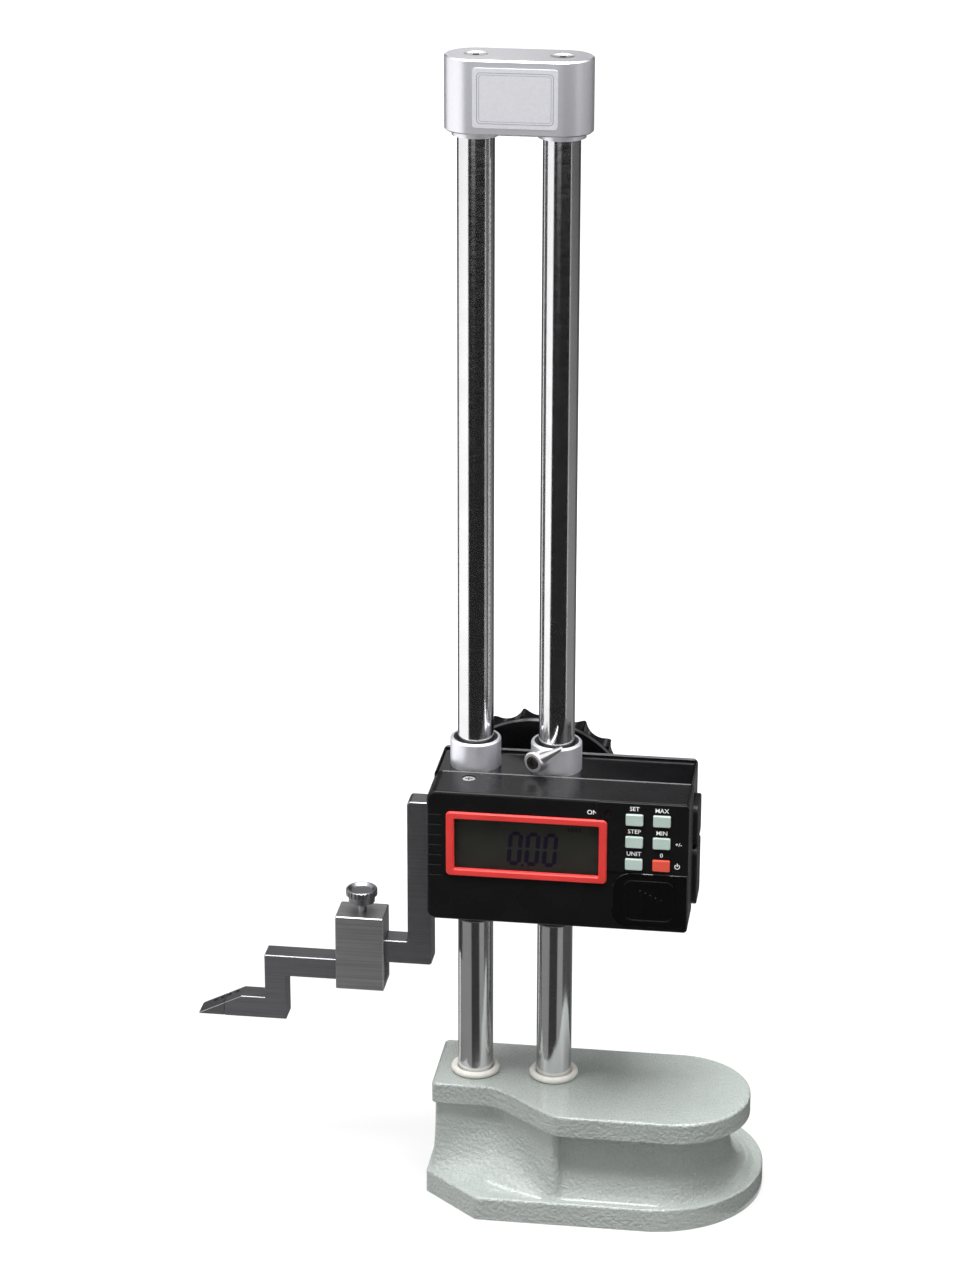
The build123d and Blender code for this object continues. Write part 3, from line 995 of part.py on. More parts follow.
CONTACT_THICKNESS, CONTACT_LENGTH, CONTACT_WIDTH = 0.3, 27.6, 4.0
TAB_WIDTH, TAB_HEIGHT = 0.8, 2.6
with BuildPart() as battery_contacts:
    with BuildSketch(facing_front(HOLDER_FLOOR)):
        with Locations((BATTERY_X, BATTERY_Z)):
            Rectangle(CONTACT_LENGTH, CONTACT_WIDTH)
    extrude(amount=CONTACT_THICKNESS)
    with BuildSketch(facing_front(HOLDER_FLOOR)):
        with Locations((BATTERY_X + (CONTACT_LENGTH - TAB_WIDTH) / 2, BATTERY_Z)):
            Rectangle(TAB_WIDTH, CONTACT_WIDTH)
    extrude(amount=TAB_HEIGHT)
save(battery_contacts.part, "battery_contacts")

with BuildPart() as battery:
    with BuildSketch(facing_front(HOLDER_FLOOR - CONTACT_THICKNESS)):
        with Locations((BATTERY_X, BATTERY_Z)):
            Circle(BATTERY_RADIUS)
    extrude(amount=BATTERY_THICKNESS)
    chamfer(edges().filter_by(GeomType.CIRCLE), EDGE_BREAK)
save(battery.part, "battery")

# ---------------------------------------------------------------- pinions and handwheel
HUB_RADIUS, HUB_FRONT, HUB_BACK = 9.0, 26.2, 40.0
SHAFT_FRONT = -5.6
INVOLUTE_STEPS = 4
WHEEL_SCREW_RADIUS, WHEEL_SCREW_LENGTH = 1.6, 9.0
WHEEL_SCREW_HEAD_RADIUS, WHEEL_SCREW_HEAD, WHEEL_SCREW_ROUNDING = 4.6, 2.4, 1.2
SLOT_LENGTH, SLOT_WIDTH = 6.0, 1.0


def roll(radius, base_radius):
    """Involute function of the pressure angle where the flank crosses this radius."""
    angle = math.acos(min(1.0, base_radius / radius))
    return math.tan(angle) - angle


def pinion_points():
    """Outline of the pinion about its own centre, with a tooth gap facing +X."""
    base_radius = PINION_RADIUS * math.cos(math.radians(PRESSURE_ANGLE))
    tip_radius = PINION_RADIUS + PINION_ADDENDUM
    root_radius = PINION_RADIUS - RACK_ADDENDUM - TIP_CLEARANCE
    half_at_pitch = (PITCH / 2 - FLANK_CLEARANCE) / (2 * PINION_RADIUS)
    flank = [(root_radius, half_at_pitch + roll(PINION_RADIUS, base_radius))]
    for step in range(INVOLUTE_STEPS):
        radius = mix(base_radius, tip_radius, step / (INVOLUTE_STEPS - 1))
        half = half_at_pitch + roll(PINION_RADIUS, base_radius) - roll(radius, base_radius)
        flank.append((radius, half))
    points = []
    for tooth in range(PINION_TEETH):
        middle = math.tau * (tooth + 0.5) / PINION_TEETH
        for radius, half in flank:
            points.append((radius * math.cos(middle - half), radius * math.sin(middle - half)))
        for radius, half in reversed(flank):
            points.append((radius * math.cos(middle + half), radius * math.sin(middle + half)))
    return points


with BuildPart() as drive_shaft:
    with BuildSketch(facing_front(HUB_BACK, SHAFT_X, SHAFT_Z)):
        Circle(SHAFT_RADIUS)
    extrude(amount=HUB_BACK - SHAFT_FRONT)
    chamfer(edges().filter_by(GeomType.CIRCLE), EDGE_BREAK)
    with BuildSketch(facing_front(PINION_BACK, SHAFT_X, SHAFT_Z)):
        with BuildLine():
            Polyline(*pinion_points(), close=True)
        make_face()
    extrude(amount=PINION_BACK - PINION_FRONT)
    with BuildSketch(facing_front(HUB_BACK, SHAFT_X, SHAFT_Z)):
        Circle(WHEEL_SCREW_RADIUS)
    extrude(amount=WHEEL_SCREW_LENGTH + 1, mode=Mode.SUBTRACT)
save(drive_shaft.part, "drive_shaft")

CRANK_SPOT = (
    CRANK_RADIUS * math.cos(math.radians(CRANK_ANGLE)),
    CRANK_RADIUS * math.sin(math.radians(CRANK_ANGLE)),
)
crank_x, crank_z = SHAFT_X + CRANK_SPOT[0], SHAFT_Z + CRANK_SPOT[1]
SCALLOP_RADIUS = 8.0
RIM_INSIDE = 36.0
WEB_BACK = WHEEL_FRONT + 4.0
FACE_BACK = WHEEL_FRONT + 1.6
WHEEL_CHAMFER, WEB_TAPER = 0.8, 1.5
CRANK_BOSS_RADIUS = 6.0
SPINDLE_RADIUS, SPINDLE_HEAD_RADIUS, SPINDLE_HEAD, SPINDLE_ROUNDING = 2.0, 3.4, 1.5, 0.8
SPINDLE_DEPTH, SPINDLE_HOLE_DEPTH = 7.5, 8.0
KNOB_PLAY = 0.3
KNOB_FRONT, KNOB_BACK = WHEEL_BACK + KNOB_PLAY, 58.0
KNOB_NECK_RADIUS, KNOB_WAIST_RADIUS, KNOB_BELLY_RADIUS, KNOB_END_RADIUS = 4.2, 4.6, 6.6, 5.0
KNOB_WAIST, KNOB_BELLY = 5.0, 5.5           # from the knob's front and back ends

with BuildPart() as handwheel:
    with BuildSketch(facing_right(SHAFT_X, 0, SHAFT_Z)):
        with BuildLine():
            Polyline(
                (HUB_FRONT, SHAFT_RADIUS), (HUB_FRONT, HUB_RADIUS), (WHEEL_FRONT, HUB_RADIUS),
                (WHEEL_FRONT, WHEEL_FACE_RADIUS - WHEEL_CHAMFER),
                (WHEEL_FRONT + WHEEL_CHAMFER, WHEEL_FACE_RADIUS),
                (FACE_BACK, WHEEL_FACE_RADIUS), (FACE_BACK, WHEEL_RADIUS),
                (WHEEL_BACK - EDGE_ROUNDING, WHEEL_RADIUS),
                (WHEEL_BACK, WHEEL_RADIUS - EDGE_ROUNDING),
                (WHEEL_BACK, RIM_INSIDE), (WEB_BACK, RIM_INSIDE - WEB_TAPER),
                (WEB_BACK, HUB_RADIUS + WEB_TAPER), (HUB_BACK, HUB_RADIUS),
                (HUB_BACK, SHAFT_RADIUS),
                close=True,
            )
        make_face()
    revolve(axis=Axis((SHAFT_X, 0, SHAFT_Z), (0, 1, 0)))
    with BuildSketch(facing_front(WHEEL_BACK, SHAFT_X, SHAFT_Z)):
        with Locations(CRANK_SPOT):
            Circle(CRANK_BOSS_RADIUS)
    extrude(amount=WHEEL_BACK - WEB_BACK + 1)
    with BuildSketch(facing_front(WHEEL_BACK, SHAFT_X, SHAFT_Z)):
        with Locations(CRANK_SPOT):
            Circle(SPINDLE_RADIUS)
    extrude(amount=SPINDLE_HOLE_DEPTH, mode=Mode.SUBTRACT)
    with BuildSketch(facing_front(WHEEL_BACK, SHAFT_X, SHAFT_Z)):
        with PolarLocations(WHEEL_NOTCH_RADIUS + SCALLOP_RADIUS, WHEEL_LOBES):
            Circle(SCALLOP_RADIUS)
    extrude(amount=WHEEL_BACK - FACE_BACK, mode=Mode.SUBTRACT)
save(handwheel.part, "handwheel")

with BuildPart() as handwheel_screw:
    with BuildSketch(facing_front(HUB_BACK + WHEEL_SCREW_HEAD, SHAFT_X, SHAFT_Z)):
        Circle(WHEEL_SCREW_HEAD_RADIUS)
    extrude(amount=WHEEL_SCREW_HEAD)
    fillet(edges().filter_by(GeomType.CIRCLE).sort_by(Axis.Y)[-1], WHEEL_SCREW_ROUNDING)
    with BuildSketch(facing_front(HUB_BACK, SHAFT_X, SHAFT_Z)):
        Circle(WHEEL_SCREW_RADIUS - RUNNING_GAP)
    extrude(amount=WHEEL_SCREW_LENGTH)
    with BuildSketch(facing_front(HUB_BACK + WHEEL_SCREW_HEAD, SHAFT_X, SHAFT_Z)):
        Rectangle(SLOT_LENGTH, SLOT_WIDTH)
    extrude(amount=SLOT_WIDTH, mode=Mode.SUBTRACT)
save(handwheel_screw.part, "handwheel_screw")

with BuildPart() as crank_spindle:
    head_front = KNOB_BACK + KNOB_PLAY
    with BuildSketch(facing_front(head_front, crank_x, crank_z)):
        Circle(SPINDLE_RADIUS)
    extrude(amount=head_front - WHEEL_BACK + SPINDLE_DEPTH)
    with BuildSketch(facing_front(head_front + SPINDLE_HEAD, crank_x, crank_z)):
        Circle(SPINDLE_HEAD_RADIUS)
    extrude(amount=SPINDLE_HEAD)
    fillet(edges().filter_by(GeomType.CIRCLE).sort_by(Axis.Y)[-1], SPINDLE_ROUNDING)
save(crank_spindle.part, "crank_spindle")

with BuildPart() as crank_knob:
    with BuildSketch(facing_right(crank_x, 0, crank_z)):
        with BuildLine():
            bore = SPINDLE_RADIUS + RUNNING_GAP
            Line((KNOB_FRONT, bore), (KNOB_FRONT, KNOB_NECK_RADIUS))
            Spline(
                (KNOB_FRONT, KNOB_NECK_RADIUS), (KNOB_FRONT + KNOB_WAIST, KNOB_WAIST_RADIUS),
                (KNOB_BACK - KNOB_BELLY, KNOB_BELLY_RADIUS), (KNOB_BACK, KNOB_END_RADIUS),
            )
            Polyline((KNOB_BACK, KNOB_END_RADIUS), (KNOB_BACK, bore), (KNOB_FRONT, bore))
        make_face()
    revolve(axis=Axis((crank_x, 0, crank_z), (0, 1, 0)))
save(crank_knob.part, "crank_knob")

# ---------------------------------------------------------------- encoder
DISC_FRONT, DISC_THICKNESS, DISC_RADIUS, DISC_HUB_RADIUS = -15.6, 1.0, 11.0, 3.6
SENSOR_FRONT, SENSOR_OFFSET, SENSOR_WIDTH, SENSOR_HEIGHT = DISC_FRONT - 0.5, 8.0, 6.0, 9.0
DISC_SLOTS, SLIT_LENGTH, SLIT_WIDTH, SLIT_INSET = 24, 2.4, 0.9, 2.5
SHAFT_END_GAP, HUB_GAP = 0.2, 0.4

with BuildPart() as encoder_pinion:
    with BuildSketch(facing_front(FRAME_BACK - SHAFT_END_GAP, SHAFT_X, ENCODER_Z)):
        Circle(ENCODER_SHAFT_RADIUS)
    extrude(amount=FRAME_BACK - DISC_FRONT + SHAFT_END_GAP)
    with BuildSketch(facing_front(PINION_BACK, SHAFT_X, ENCODER_Z)):
        with BuildLine():
            Polyline(*pinion_points(), close=True)
        make_face()
    extrude(amount=PINION_BACK - PINION_FRONT)
save(encoder_pinion.part, "encoder_pinion")

with BuildPart() as encoder_disc:
    with BuildSketch(facing_front(DISC_FRONT + DISC_THICKNESS, SHAFT_X, ENCODER_Z)):
        Circle(DISC_RADIUS)
    extrude(amount=DISC_THICKNESS)
    with BuildSketch(facing_front(FRAME_FRONT - HUB_GAP, SHAFT_X, ENCODER_Z)):
        Circle(DISC_HUB_RADIUS)
    extrude(amount=FRAME_FRONT - HUB_GAP - DISC_FRONT - DISC_THICKNESS)
    with BuildSketch(facing_front(FRAME_FRONT, SHAFT_X, ENCODER_Z)):
        Circle(ENCODER_SHAFT_RADIUS)
        with PolarLocations(DISC_RADIUS - SLIT_INSET, DISC_SLOTS):
            Rectangle(SLIT_LENGTH, SLIT_WIDTH)
    extrude(amount=FRAME_FRONT - DISC_FRONT, mode=Mode.SUBTRACT)
save(encoder_disc.part, "encoder_disc")

with BuildPart() as encoder_sensor:
    with BuildSketch(facing_front(SENSOR_FRONT, SHAFT_X + SENSOR_OFFSET, ENCODER_Z)):
        Rectangle(SENSOR_WIDTH, SENSOR_HEIGHT)
    extrude(amount=SENSOR_FRONT - BOARD_BACK)
save(encoder_sensor.part, "encoder_sensor")

# ---------------------------------------------------------------- clamp lever
HUB_START, HUB_END, LEVER_HUB_RADIUS = 11.2, 16.2, 4.7
LEVER_RECESS_RADIUS, LEVER_RECESS_DEPTH = 2.9, 0.8
LEVER_SCREW_HEAD_RADIUS, LEVER_SCREW_HEAD = 2.7, 1.3
LEVER_RISE, LEVER_LENGTH, LEVER_ROOT = 35.0, 16.0, 2.5
LEVER_BASE_RADIUS, LEVER_TIP_RADIUS, LEVER_ROUNDING = 2.45, 0.75, 0.8
lever_centre = Vector(COLUMN_X, 0, LEVER_Z) + lever_out * (HUB_START + HUB_END) / 2
lever_along = (
    lever_side * math.cos(math.radians(LEVER_RISE))
    + Vector(0, 0, 1) * math.sin(math.radians(LEVER_RISE))
)
with BuildPart() as clamp_lever:
    with BuildSketch(lever_plane(HUB_START)):
        Circle(LEVER_HUB_RADIUS)
    extrude(amount=HUB_END - HUB_START)
    fillet(edges().filter_by(GeomType.CIRCLE), LEVER_ROUNDING)
    with BuildSketch(Plane(origin=lever_centre + lever_along * LEVER_ROOT, z_dir=lever_along)):
        Circle(LEVER_BASE_RADIUS)
    with BuildSketch(Plane(origin=lever_centre + lever_along * LEVER_LENGTH, z_dir=lever_along)):
        Circle(LEVER_TIP_RADIUS)
    loft()
    with BuildSketch(lever_plane(HUB_START)):
        Circle(STUD_RADIUS)
    extrude(amount=HUB_END - HUB_START, mode=Mode.SUBTRACT)
    with BuildSketch(lever_plane(HUB_END)):
        Circle(LEVER_RECESS_RADIUS)
    extrude(amount=-LEVER_RECESS_DEPTH, mode=Mode.SUBTRACT)
save(clamp_lever.part, "clamp_lever")

with BuildPart() as lever_screw:
    stud_start, stud_end = COLUMN_RADIUS + TIP_GAP, HUB_END - LEVER_RECESS_DEPTH
    with BuildSketch(lever_plane(stud_start)):
        Circle(STUD_RADIUS)
    extrude(amount=stud_end - stud_start)
    with BuildSketch(lever_plane(stud_end)):
        Circle(LEVER_SCREW_HEAD_RADIUS)
    extrude(amount=LEVER_SCREW_HEAD)
    with BuildSketch(lever_plane(stud_end + LEVER_SCREW_HEAD)):
        Rectangle(CROSS_LENGTH, CROSS_WIDTH)
        Rectangle(CROSS_WIDTH, CROSS_LENGTH)
    extrude(amount=-CROSS_DEPTH, mode=Mode.SUBTRACT)
save(lever_screw.part, "lever_screw")

# ---------------------------------------------------------------- jaw
JAW_SCREW_SUNK, JAW_SOCKET_RADIUS, JAW_SOCKET_DEPTH = 0.3, 1.7, 2.0
JAW_CORNERS = [1.8, 0.8, 1.4, 0.8, 0.8, 0.8]     # from the top left corner round clockwise
with BuildPart() as jaw:
    with BuildSketch(facing_front(JAW_BACK)):
        with BuildLine():
            FilletPolyline(
                (JAW_LEFT, JAW_TOP), (JAW_RIGHT, JAW_TOP), (JAW_RIGHT, ARM_BOTTOM),
                (ARM_END, ARM_BOTTOM), (ARM_END, ARM_TOP), (JAW_LEFT, ARM_TOP),
                radius=JAW_CORNERS, close=True,
            )
        make_face()
    extrude(amount=JAW_DEPTH)
    chamfer(faces().sort_by(Axis.Y)[0].edges() + faces().sort_by(Axis.Y)[-1].edges(), EDGE_BREAK)
    with BuildSketch(facing_right(JAW_LEFT)):
        with Locations(*[(JAW_MIDDLE, screw_z) for screw_z in JAW_SCREW_Z]):
            Circle(JAW_SCREW_HEAD_RADIUS)
    extrude(amount=JAW_SCREW_HEAD, mode=Mode.SUBTRACT)
    with BuildSketch(facing_right(JAW_LEFT)):
        with Locations(*[(JAW_MIDDLE, screw_z) for screw_z in JAW_SCREW_Z]):
            Circle(JAW_SCREW_RADIUS)
    extrude(amount=JAW_RIGHT - JAW_LEFT, mode=Mode.SUBTRACT)
save(jaw.part, "jaw")

with BuildPart() as jaw_screws:
    with BuildSketch(facing_right(JAW_LEFT + JAW_SCREW_SUNK)):
        with Locations(*[(JAW_MIDDLE, screw_z) for screw_z in JAW_SCREW_Z]):
            Circle(JAW_SCREW_HEAD_RADIUS - LOOSE_GAP)
    extrude(amount=JAW_SCREW_HEAD - JAW_SCREW_SUNK)
    with BuildSketch(facing_right(JAW_LEFT + JAW_SCREW_HEAD)):
        with Locations(*[(JAW_MIDDLE, screw_z) for screw_z in JAW_SCREW_Z]):
            Circle(JAW_SCREW_RADIUS - RUNNING_GAP)
    extrude(amount=JAW_RIGHT - JAW_LEFT - JAW_SCREW_HEAD + JAW_SCREW_DEPTH)
    with BuildSketch(facing_right(JAW_LEFT + JAW_SCREW_SUNK)):
        with Locations(*[(JAW_MIDDLE, screw_z) for screw_z in JAW_SCREW_Z]):
            RegularPolygon(JAW_SOCKET_RADIUS, 6)
    extrude(amount=JAW_SOCKET_DEPTH, mode=Mode.SUBTRACT)
save(jaw_screws.part, "jaw_screws")

# ---------------------------------------------------------------- clamp box and thumb screw
BOX_MIDDLE = (BOX_LEFT + BOX_RIGHT) / 2
THUMB_RADIUS = 2.0
HEAD_BOTTOM, HEAD_TOP, HEAD_RADIUS, HEAD_NECK_RADIUS = 127.4, 133.4, 6.7, 5.6
KNURLS, KNURL_SIZE, KNURL_OFFSET = 24, 0.7, 0.1
NECK_HEIGHT, NECK_TAPER, RIM_CHAMFER = 2.6, 0.6, 0.4
DISH_EDGE, DISH_INSIDE, DISH_DEPTH = 1.0, 2.4, 1.0
BOX_CHAMFER = 0.4
with BuildPart() as scriber_clamp:
    with BuildSketch(facing_right(BOX_LEFT)):
        with Locations((JAW_MIDDLE, (BOX_BOTTOM + BOX_TOP) / 2)):
            Rectangle(JAW_DEPTH + 2 * BOX_WALL, BOX_TOP - BOX_BOTTOM)
    extrude(amount=BOX_RIGHT - BOX_LEFT)
    chamfer(edges(), BOX_CHAMFER)
    with BuildSketch(facing_right(BOX_LEFT)):
        with Locations((JAW_MIDDLE, (SCRIBER_BOTTOM + ARM_TOP) / 2)):
            Rectangle(JAW_DEPTH + 2 * RUNNING_GAP, ARM_TOP - SCRIBER_BOTTOM + 2 * RUNNING_GAP)
    extrude(amount=BOX_RIGHT - BOX_LEFT, mode=Mode.SUBTRACT)
    with BuildSketch(Plane.XY.offset(ARM_TOP)):
        with Locations((BOX_MIDDLE, JAW_MIDDLE)):
            Circle(THUMB_RADIUS + RUNNING_GAP)
    extrude(amount=BOX_TOP - ARM_TOP, mode=Mode.SUBTRACT)
save(scriber_clamp.part, "scriber_clamp")

with BuildPart() as thumb_screw:
    with BuildSketch(facing_front(JAW_MIDDLE, BOX_MIDDLE, 0)):
        with BuildLine():
            Polyline(
                (0, ARM_TOP + TIP_GAP), (THUMB_RADIUS, ARM_TOP + TIP_GAP),
                (THUMB_RADIUS, HEAD_BOTTOM), (HEAD_NECK_RADIUS, HEAD_BOTTOM),
                (HEAD_NECK_RADIUS, HEAD_BOTTOM + NECK_HEIGHT),
                (HEAD_RADIUS, HEAD_BOTTOM + NECK_HEIGHT + NECK_TAPER),
                (HEAD_RADIUS, HEAD_TOP - RIM_CHAMFER), (HEAD_RADIUS - RIM_CHAMFER, HEAD_TOP),
                (HEAD_RADIUS - DISH_EDGE, HEAD_TOP), (HEAD_RADIUS - DISH_INSIDE, HEAD_TOP - DISH_DEPTH),
                (0, HEAD_TOP - DISH_DEPTH), close=True,
            )
        make_face()
    revolve(axis=Axis((BOX_MIDDLE, JAW_MIDDLE, 0), (0, 0, 1)))
    with BuildSketch(Plane.XY.offset(HEAD_BOTTOM + NECK_HEIGHT)):
        with Locations((BOX_MIDDLE, JAW_MIDDLE)):
            with PolarLocations(HEAD_RADIUS + KNURL_OFFSET, KNURLS):
                Rectangle(KNURL_SIZE, KNURL_SIZE, rotation=45)
    extrude(amount=HEAD_TOP - HEAD_BOTTOM, mode=Mode.SUBTRACT)
save(thumb_screw.part, "thumb_screw")

# ---------------------------------------------------------------- scriber
TIP_HEIGHT = 0.5                            # of the scribing edge, which is left this thick
slope_drop = (FOOT_SLOPE_TOP - MEASURING_FACE - TIP_HEIGHT) / (FOOT_SLOPE_START - SCRIBER_TIP)
carbide_top = MEASURING_FACE + TIP_HEIGHT + (CARBIDE_START - SCRIBER_TIP) * slope_drop
with BuildPart() as scriber:
    with BuildSketch(facing_front(JAW_BACK)):
        with BuildLine():
            Polyline(
                (SCRIBER_RIGHT, SCRIBER_TOP), (SCRIBER_DROP_LEFT, SCRIBER_TOP),
                (SCRIBER_DROP_LEFT, FOOT_SLOPE_TOP), (FOOT_SLOPE_START, FOOT_SLOPE_TOP),
                (CARBIDE_START, carbide_top), (CARBIDE_START, MEASURING_FACE),
                (SCRIBER_DROP_RIGHT, MEASURING_FACE), (SCRIBER_DROP_RIGHT, SCRIBER_BOTTOM),
                (SCRIBER_RIGHT, SCRIBER_BOTTOM), close=True,
            )
        make_face()
    extrude(amount=JAW_DEPTH)
    chamfer(edges().filter_by(Axis.X).group_by(Axis.Z)[-1], EDGE_BREAK)
save(scriber.part, "scriber")

with BuildPart() as carbide_tip:
    with BuildSketch(facing_front(JAW_BACK)):
        with BuildLine():
            Polyline(
                (CARBIDE_START, carbide_top), (SCRIBER_TIP, MEASURING_FACE + TIP_HEIGHT),
                (SCRIBER_TIP, MEASURING_FACE), (CARBIDE_START, MEASURING_FACE), close=True,
            )
        make_face()
    extrude(amount=JAW_DEPTH)
save(carbide_tip.part, "carbide_tip")
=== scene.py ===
import json
import math

import bpy
from mathutils import Matrix, Vector


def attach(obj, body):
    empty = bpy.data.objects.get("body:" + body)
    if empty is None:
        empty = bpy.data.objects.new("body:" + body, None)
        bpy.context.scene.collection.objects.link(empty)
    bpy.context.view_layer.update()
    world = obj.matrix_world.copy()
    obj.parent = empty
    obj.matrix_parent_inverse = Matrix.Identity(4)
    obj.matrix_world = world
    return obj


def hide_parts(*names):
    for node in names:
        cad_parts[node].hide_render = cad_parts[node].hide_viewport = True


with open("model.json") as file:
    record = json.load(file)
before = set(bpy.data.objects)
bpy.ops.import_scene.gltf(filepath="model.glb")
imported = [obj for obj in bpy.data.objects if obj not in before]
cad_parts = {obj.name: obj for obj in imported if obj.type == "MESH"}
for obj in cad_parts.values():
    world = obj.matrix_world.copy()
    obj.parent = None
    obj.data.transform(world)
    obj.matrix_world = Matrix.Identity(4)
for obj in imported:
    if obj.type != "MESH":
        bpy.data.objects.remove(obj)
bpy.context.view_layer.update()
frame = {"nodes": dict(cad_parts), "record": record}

MM = 0.001      # pieces are written in millimetres, the scene is in metres


# ---------------------------------------------------------------- materials
def linear(red, green, blue):
    """An sRGB colour, 0 to 255, as the linear values that a shader takes."""
    values = []
    for part in (red, green, blue):
        share = part / 255
        values.append(share / 12.92 if share <= 0.04045 else ((share + 0.055) / 1.055) ** 2.4)
    return tuple(values)


class Finish:
    """One material with its Principled shader, and the nodes that give it texture."""

    def __init__(self, name, color, metallic=0.0, roughness=0.5):
        self.material = bpy.data.materials.new(name)
        self.material.use_nodes = True
        self.tree = self.material.node_tree
        self.shader = self.tree.nodes["Principled BSDF"]
        self.shader.inputs["Base Color"].default_value = (*color, 1)
        self.shader.inputs["Metallic"].default_value = metallic
        self.shader.inputs["Roughness"].default_value = roughness
        self.color = color
        self.place = self.tree.nodes.new("ShaderNodeTexCoord").outputs["Object"]
        self.normal = None

    def set(self, socket, value):
        self.shader.inputs[socket].default_value = value
        return self

    def noise(self, size_mm, detail=2.0, stretch=(1, 1, 1)):
        """A noise in object space whose grains are about size_mm across, longer along stretch."""
        mapping = self.tree.nodes.new("ShaderNodeMapping")
        mapping.inputs["Scale"].default_value = [1 / (size_mm * MM * along) for along in stretch]
        self.tree.links.new(self.place, mapping.inputs["Vector"])
        texture = self.tree.nodes.new("ShaderNodeTexNoise")
        texture.inputs["Scale"].default_value = 1.0
        texture.inputs["Detail"].default_value = detail
        texture.inputs["Roughness"].default_value = 0.5
        self.tree.links.new(mapping.outputs["Vector"], texture.inputs["Vector"])
        return texture.outputs["Fac"]

    def spread(self, value, low, high):
        """A noise value, which is mostly 0.3 to 0.7, taken to the range low to high."""
        node = self.tree.nodes.new("ShaderNodeMapRange")
        node.inputs["From Min"].default_value = 0.3
        node.inputs["From Max"].default_value = 0.7
        node.inputs["To Min"].default_value = low
        node.inputs["To Max"].default_value = high
        self.tree.links.new(value, node.inputs["Value"])
        return node.outputs["Result"]

    def vary_roughness(self, value, low, high):
        self.tree.links.new(self.spread(value, low, high), self.shader.inputs["Roughness"])
        return self

    def vary_color(self, value, dark, light):
        """The base colour runs from dark times itself to light times itself."""
        mix = self.tree.nodes.new("ShaderNodeMix")
        mix.data_type = "RGBA"
        mix.inputs["A"].default_value = [part * dark for part in self.color] + [1]
        mix.inputs["B"].default_value = [min(1, part * light) for part in self.color] + [1]
        self.tree.links.new(self.spread(value, 0, 1), mix.inputs["Factor"])
        self.tree.links.new(mix.outputs["Result"], self.shader.inputs["Base Color"])
        return self

    def bump(self, value, height_mm):
        """Relief of the given height; a second call adds its relief to the first."""
        node = self.tree.nodes.new("ShaderNodeBump")
        node.inputs["Strength"].default_value = 1.0
        node.inputs["Distance"].default_value = height_mm * MM
        self.tree.links.new(value, node.inputs["Height"])
        if self.normal is not None:
            self.tree.links.new(self.normal, node.inputs["Normal"])
        self.normal = node.outputs["Normal"]
        self.tree.links.new(self.normal, self.shader.inputs["Normal"])
        return self


# how long the grain of a metal is along X, Y and Z
EVEN, ALONG_X, ROUND_Z = (1, 1, 1), (60, 1, 1), (1, 1, 0.3)


def ground_metal(name, color, roughness, lines, depth_mm, streak, grain_mm=0.12):
    """Ground or cast metal: fine lines in relief, and broader streaks of colour along them."""
    finish = Finish(name, color, 1.0, roughness)
    fine = finish.noise(grain_mm, 3.0, lines)
    broad = finish.noise(grain_mm * 8, 3.0, lines)
    finish.vary_color(broad, *streak)
    finish.vary_roughness(fine, roughness * 0.85, roughness * 1.2)
    finish.bump(fine, depth_mm)
    return finish


def moulded_plastic(name, color, roughness, grain_mm=0.25, depth_mm=0.003, shine=0.5):
    """Injection moulding: a faint spark-eroded grain and slightly uneven gloss."""
    finish = Finish(name, color, 0.0, roughness)
    grain = finish.noise(grain_mm, 3.0)
    cloud = finish.noise(14.0)
    finish.vary_color(cloud, 0.92, 1.08)
    finish.vary_roughness(cloud, roughness * 0.92, roughness * 1.1)
    finish.bump(grain, depth_mm)
    finish.set("Specular IOR Level", shine)
    return finish


def enamel():
    """Thick orange-peel enamel on the casting."""
    finish = Finish("base_enamel", linear(178, 185, 181), 0.0, 0.28)
    peel = finish.noise(1.5)
    pits = finish.noise(0.6)
    cloud = finish.noise(28.0, 3.0)
    finish.vary_color(cloud, 0.95, 1.05)
    finish.vary_roughness(pits, 0.22, 0.40)
    finish.bump(peel, 0.95)
    finish.bump(pits, 0.16)
    finish.set("Coat Weight", 0.6).set("Coat Roughness", 0.06)
    return finish


def rubber(name, color, roughness):
    """Soft moulding with a matt, faintly uneven skin."""
    finish = Finish(name, color, 0.0, roughness)
    finish.vary_color(finish.noise(3.0), 0.96, 1.04)
    finish.bump(finish.noise(0.3), 0.006)
    finish.set("Specular IOR Level", 0.35)
    return finish


def clear_sheet():
    """The display window: almost nothing but its own reflection shows."""
    finish = Finish("window_glass", (0.004, 0.004, 0.004), 0.0, 0.06)
    finish.vary_roughness(finish.noise(20.0), 0.04, 0.08)
    finish.set("Alpha", 0.12).set("Specular IOR Level", 0.5)
    return finish


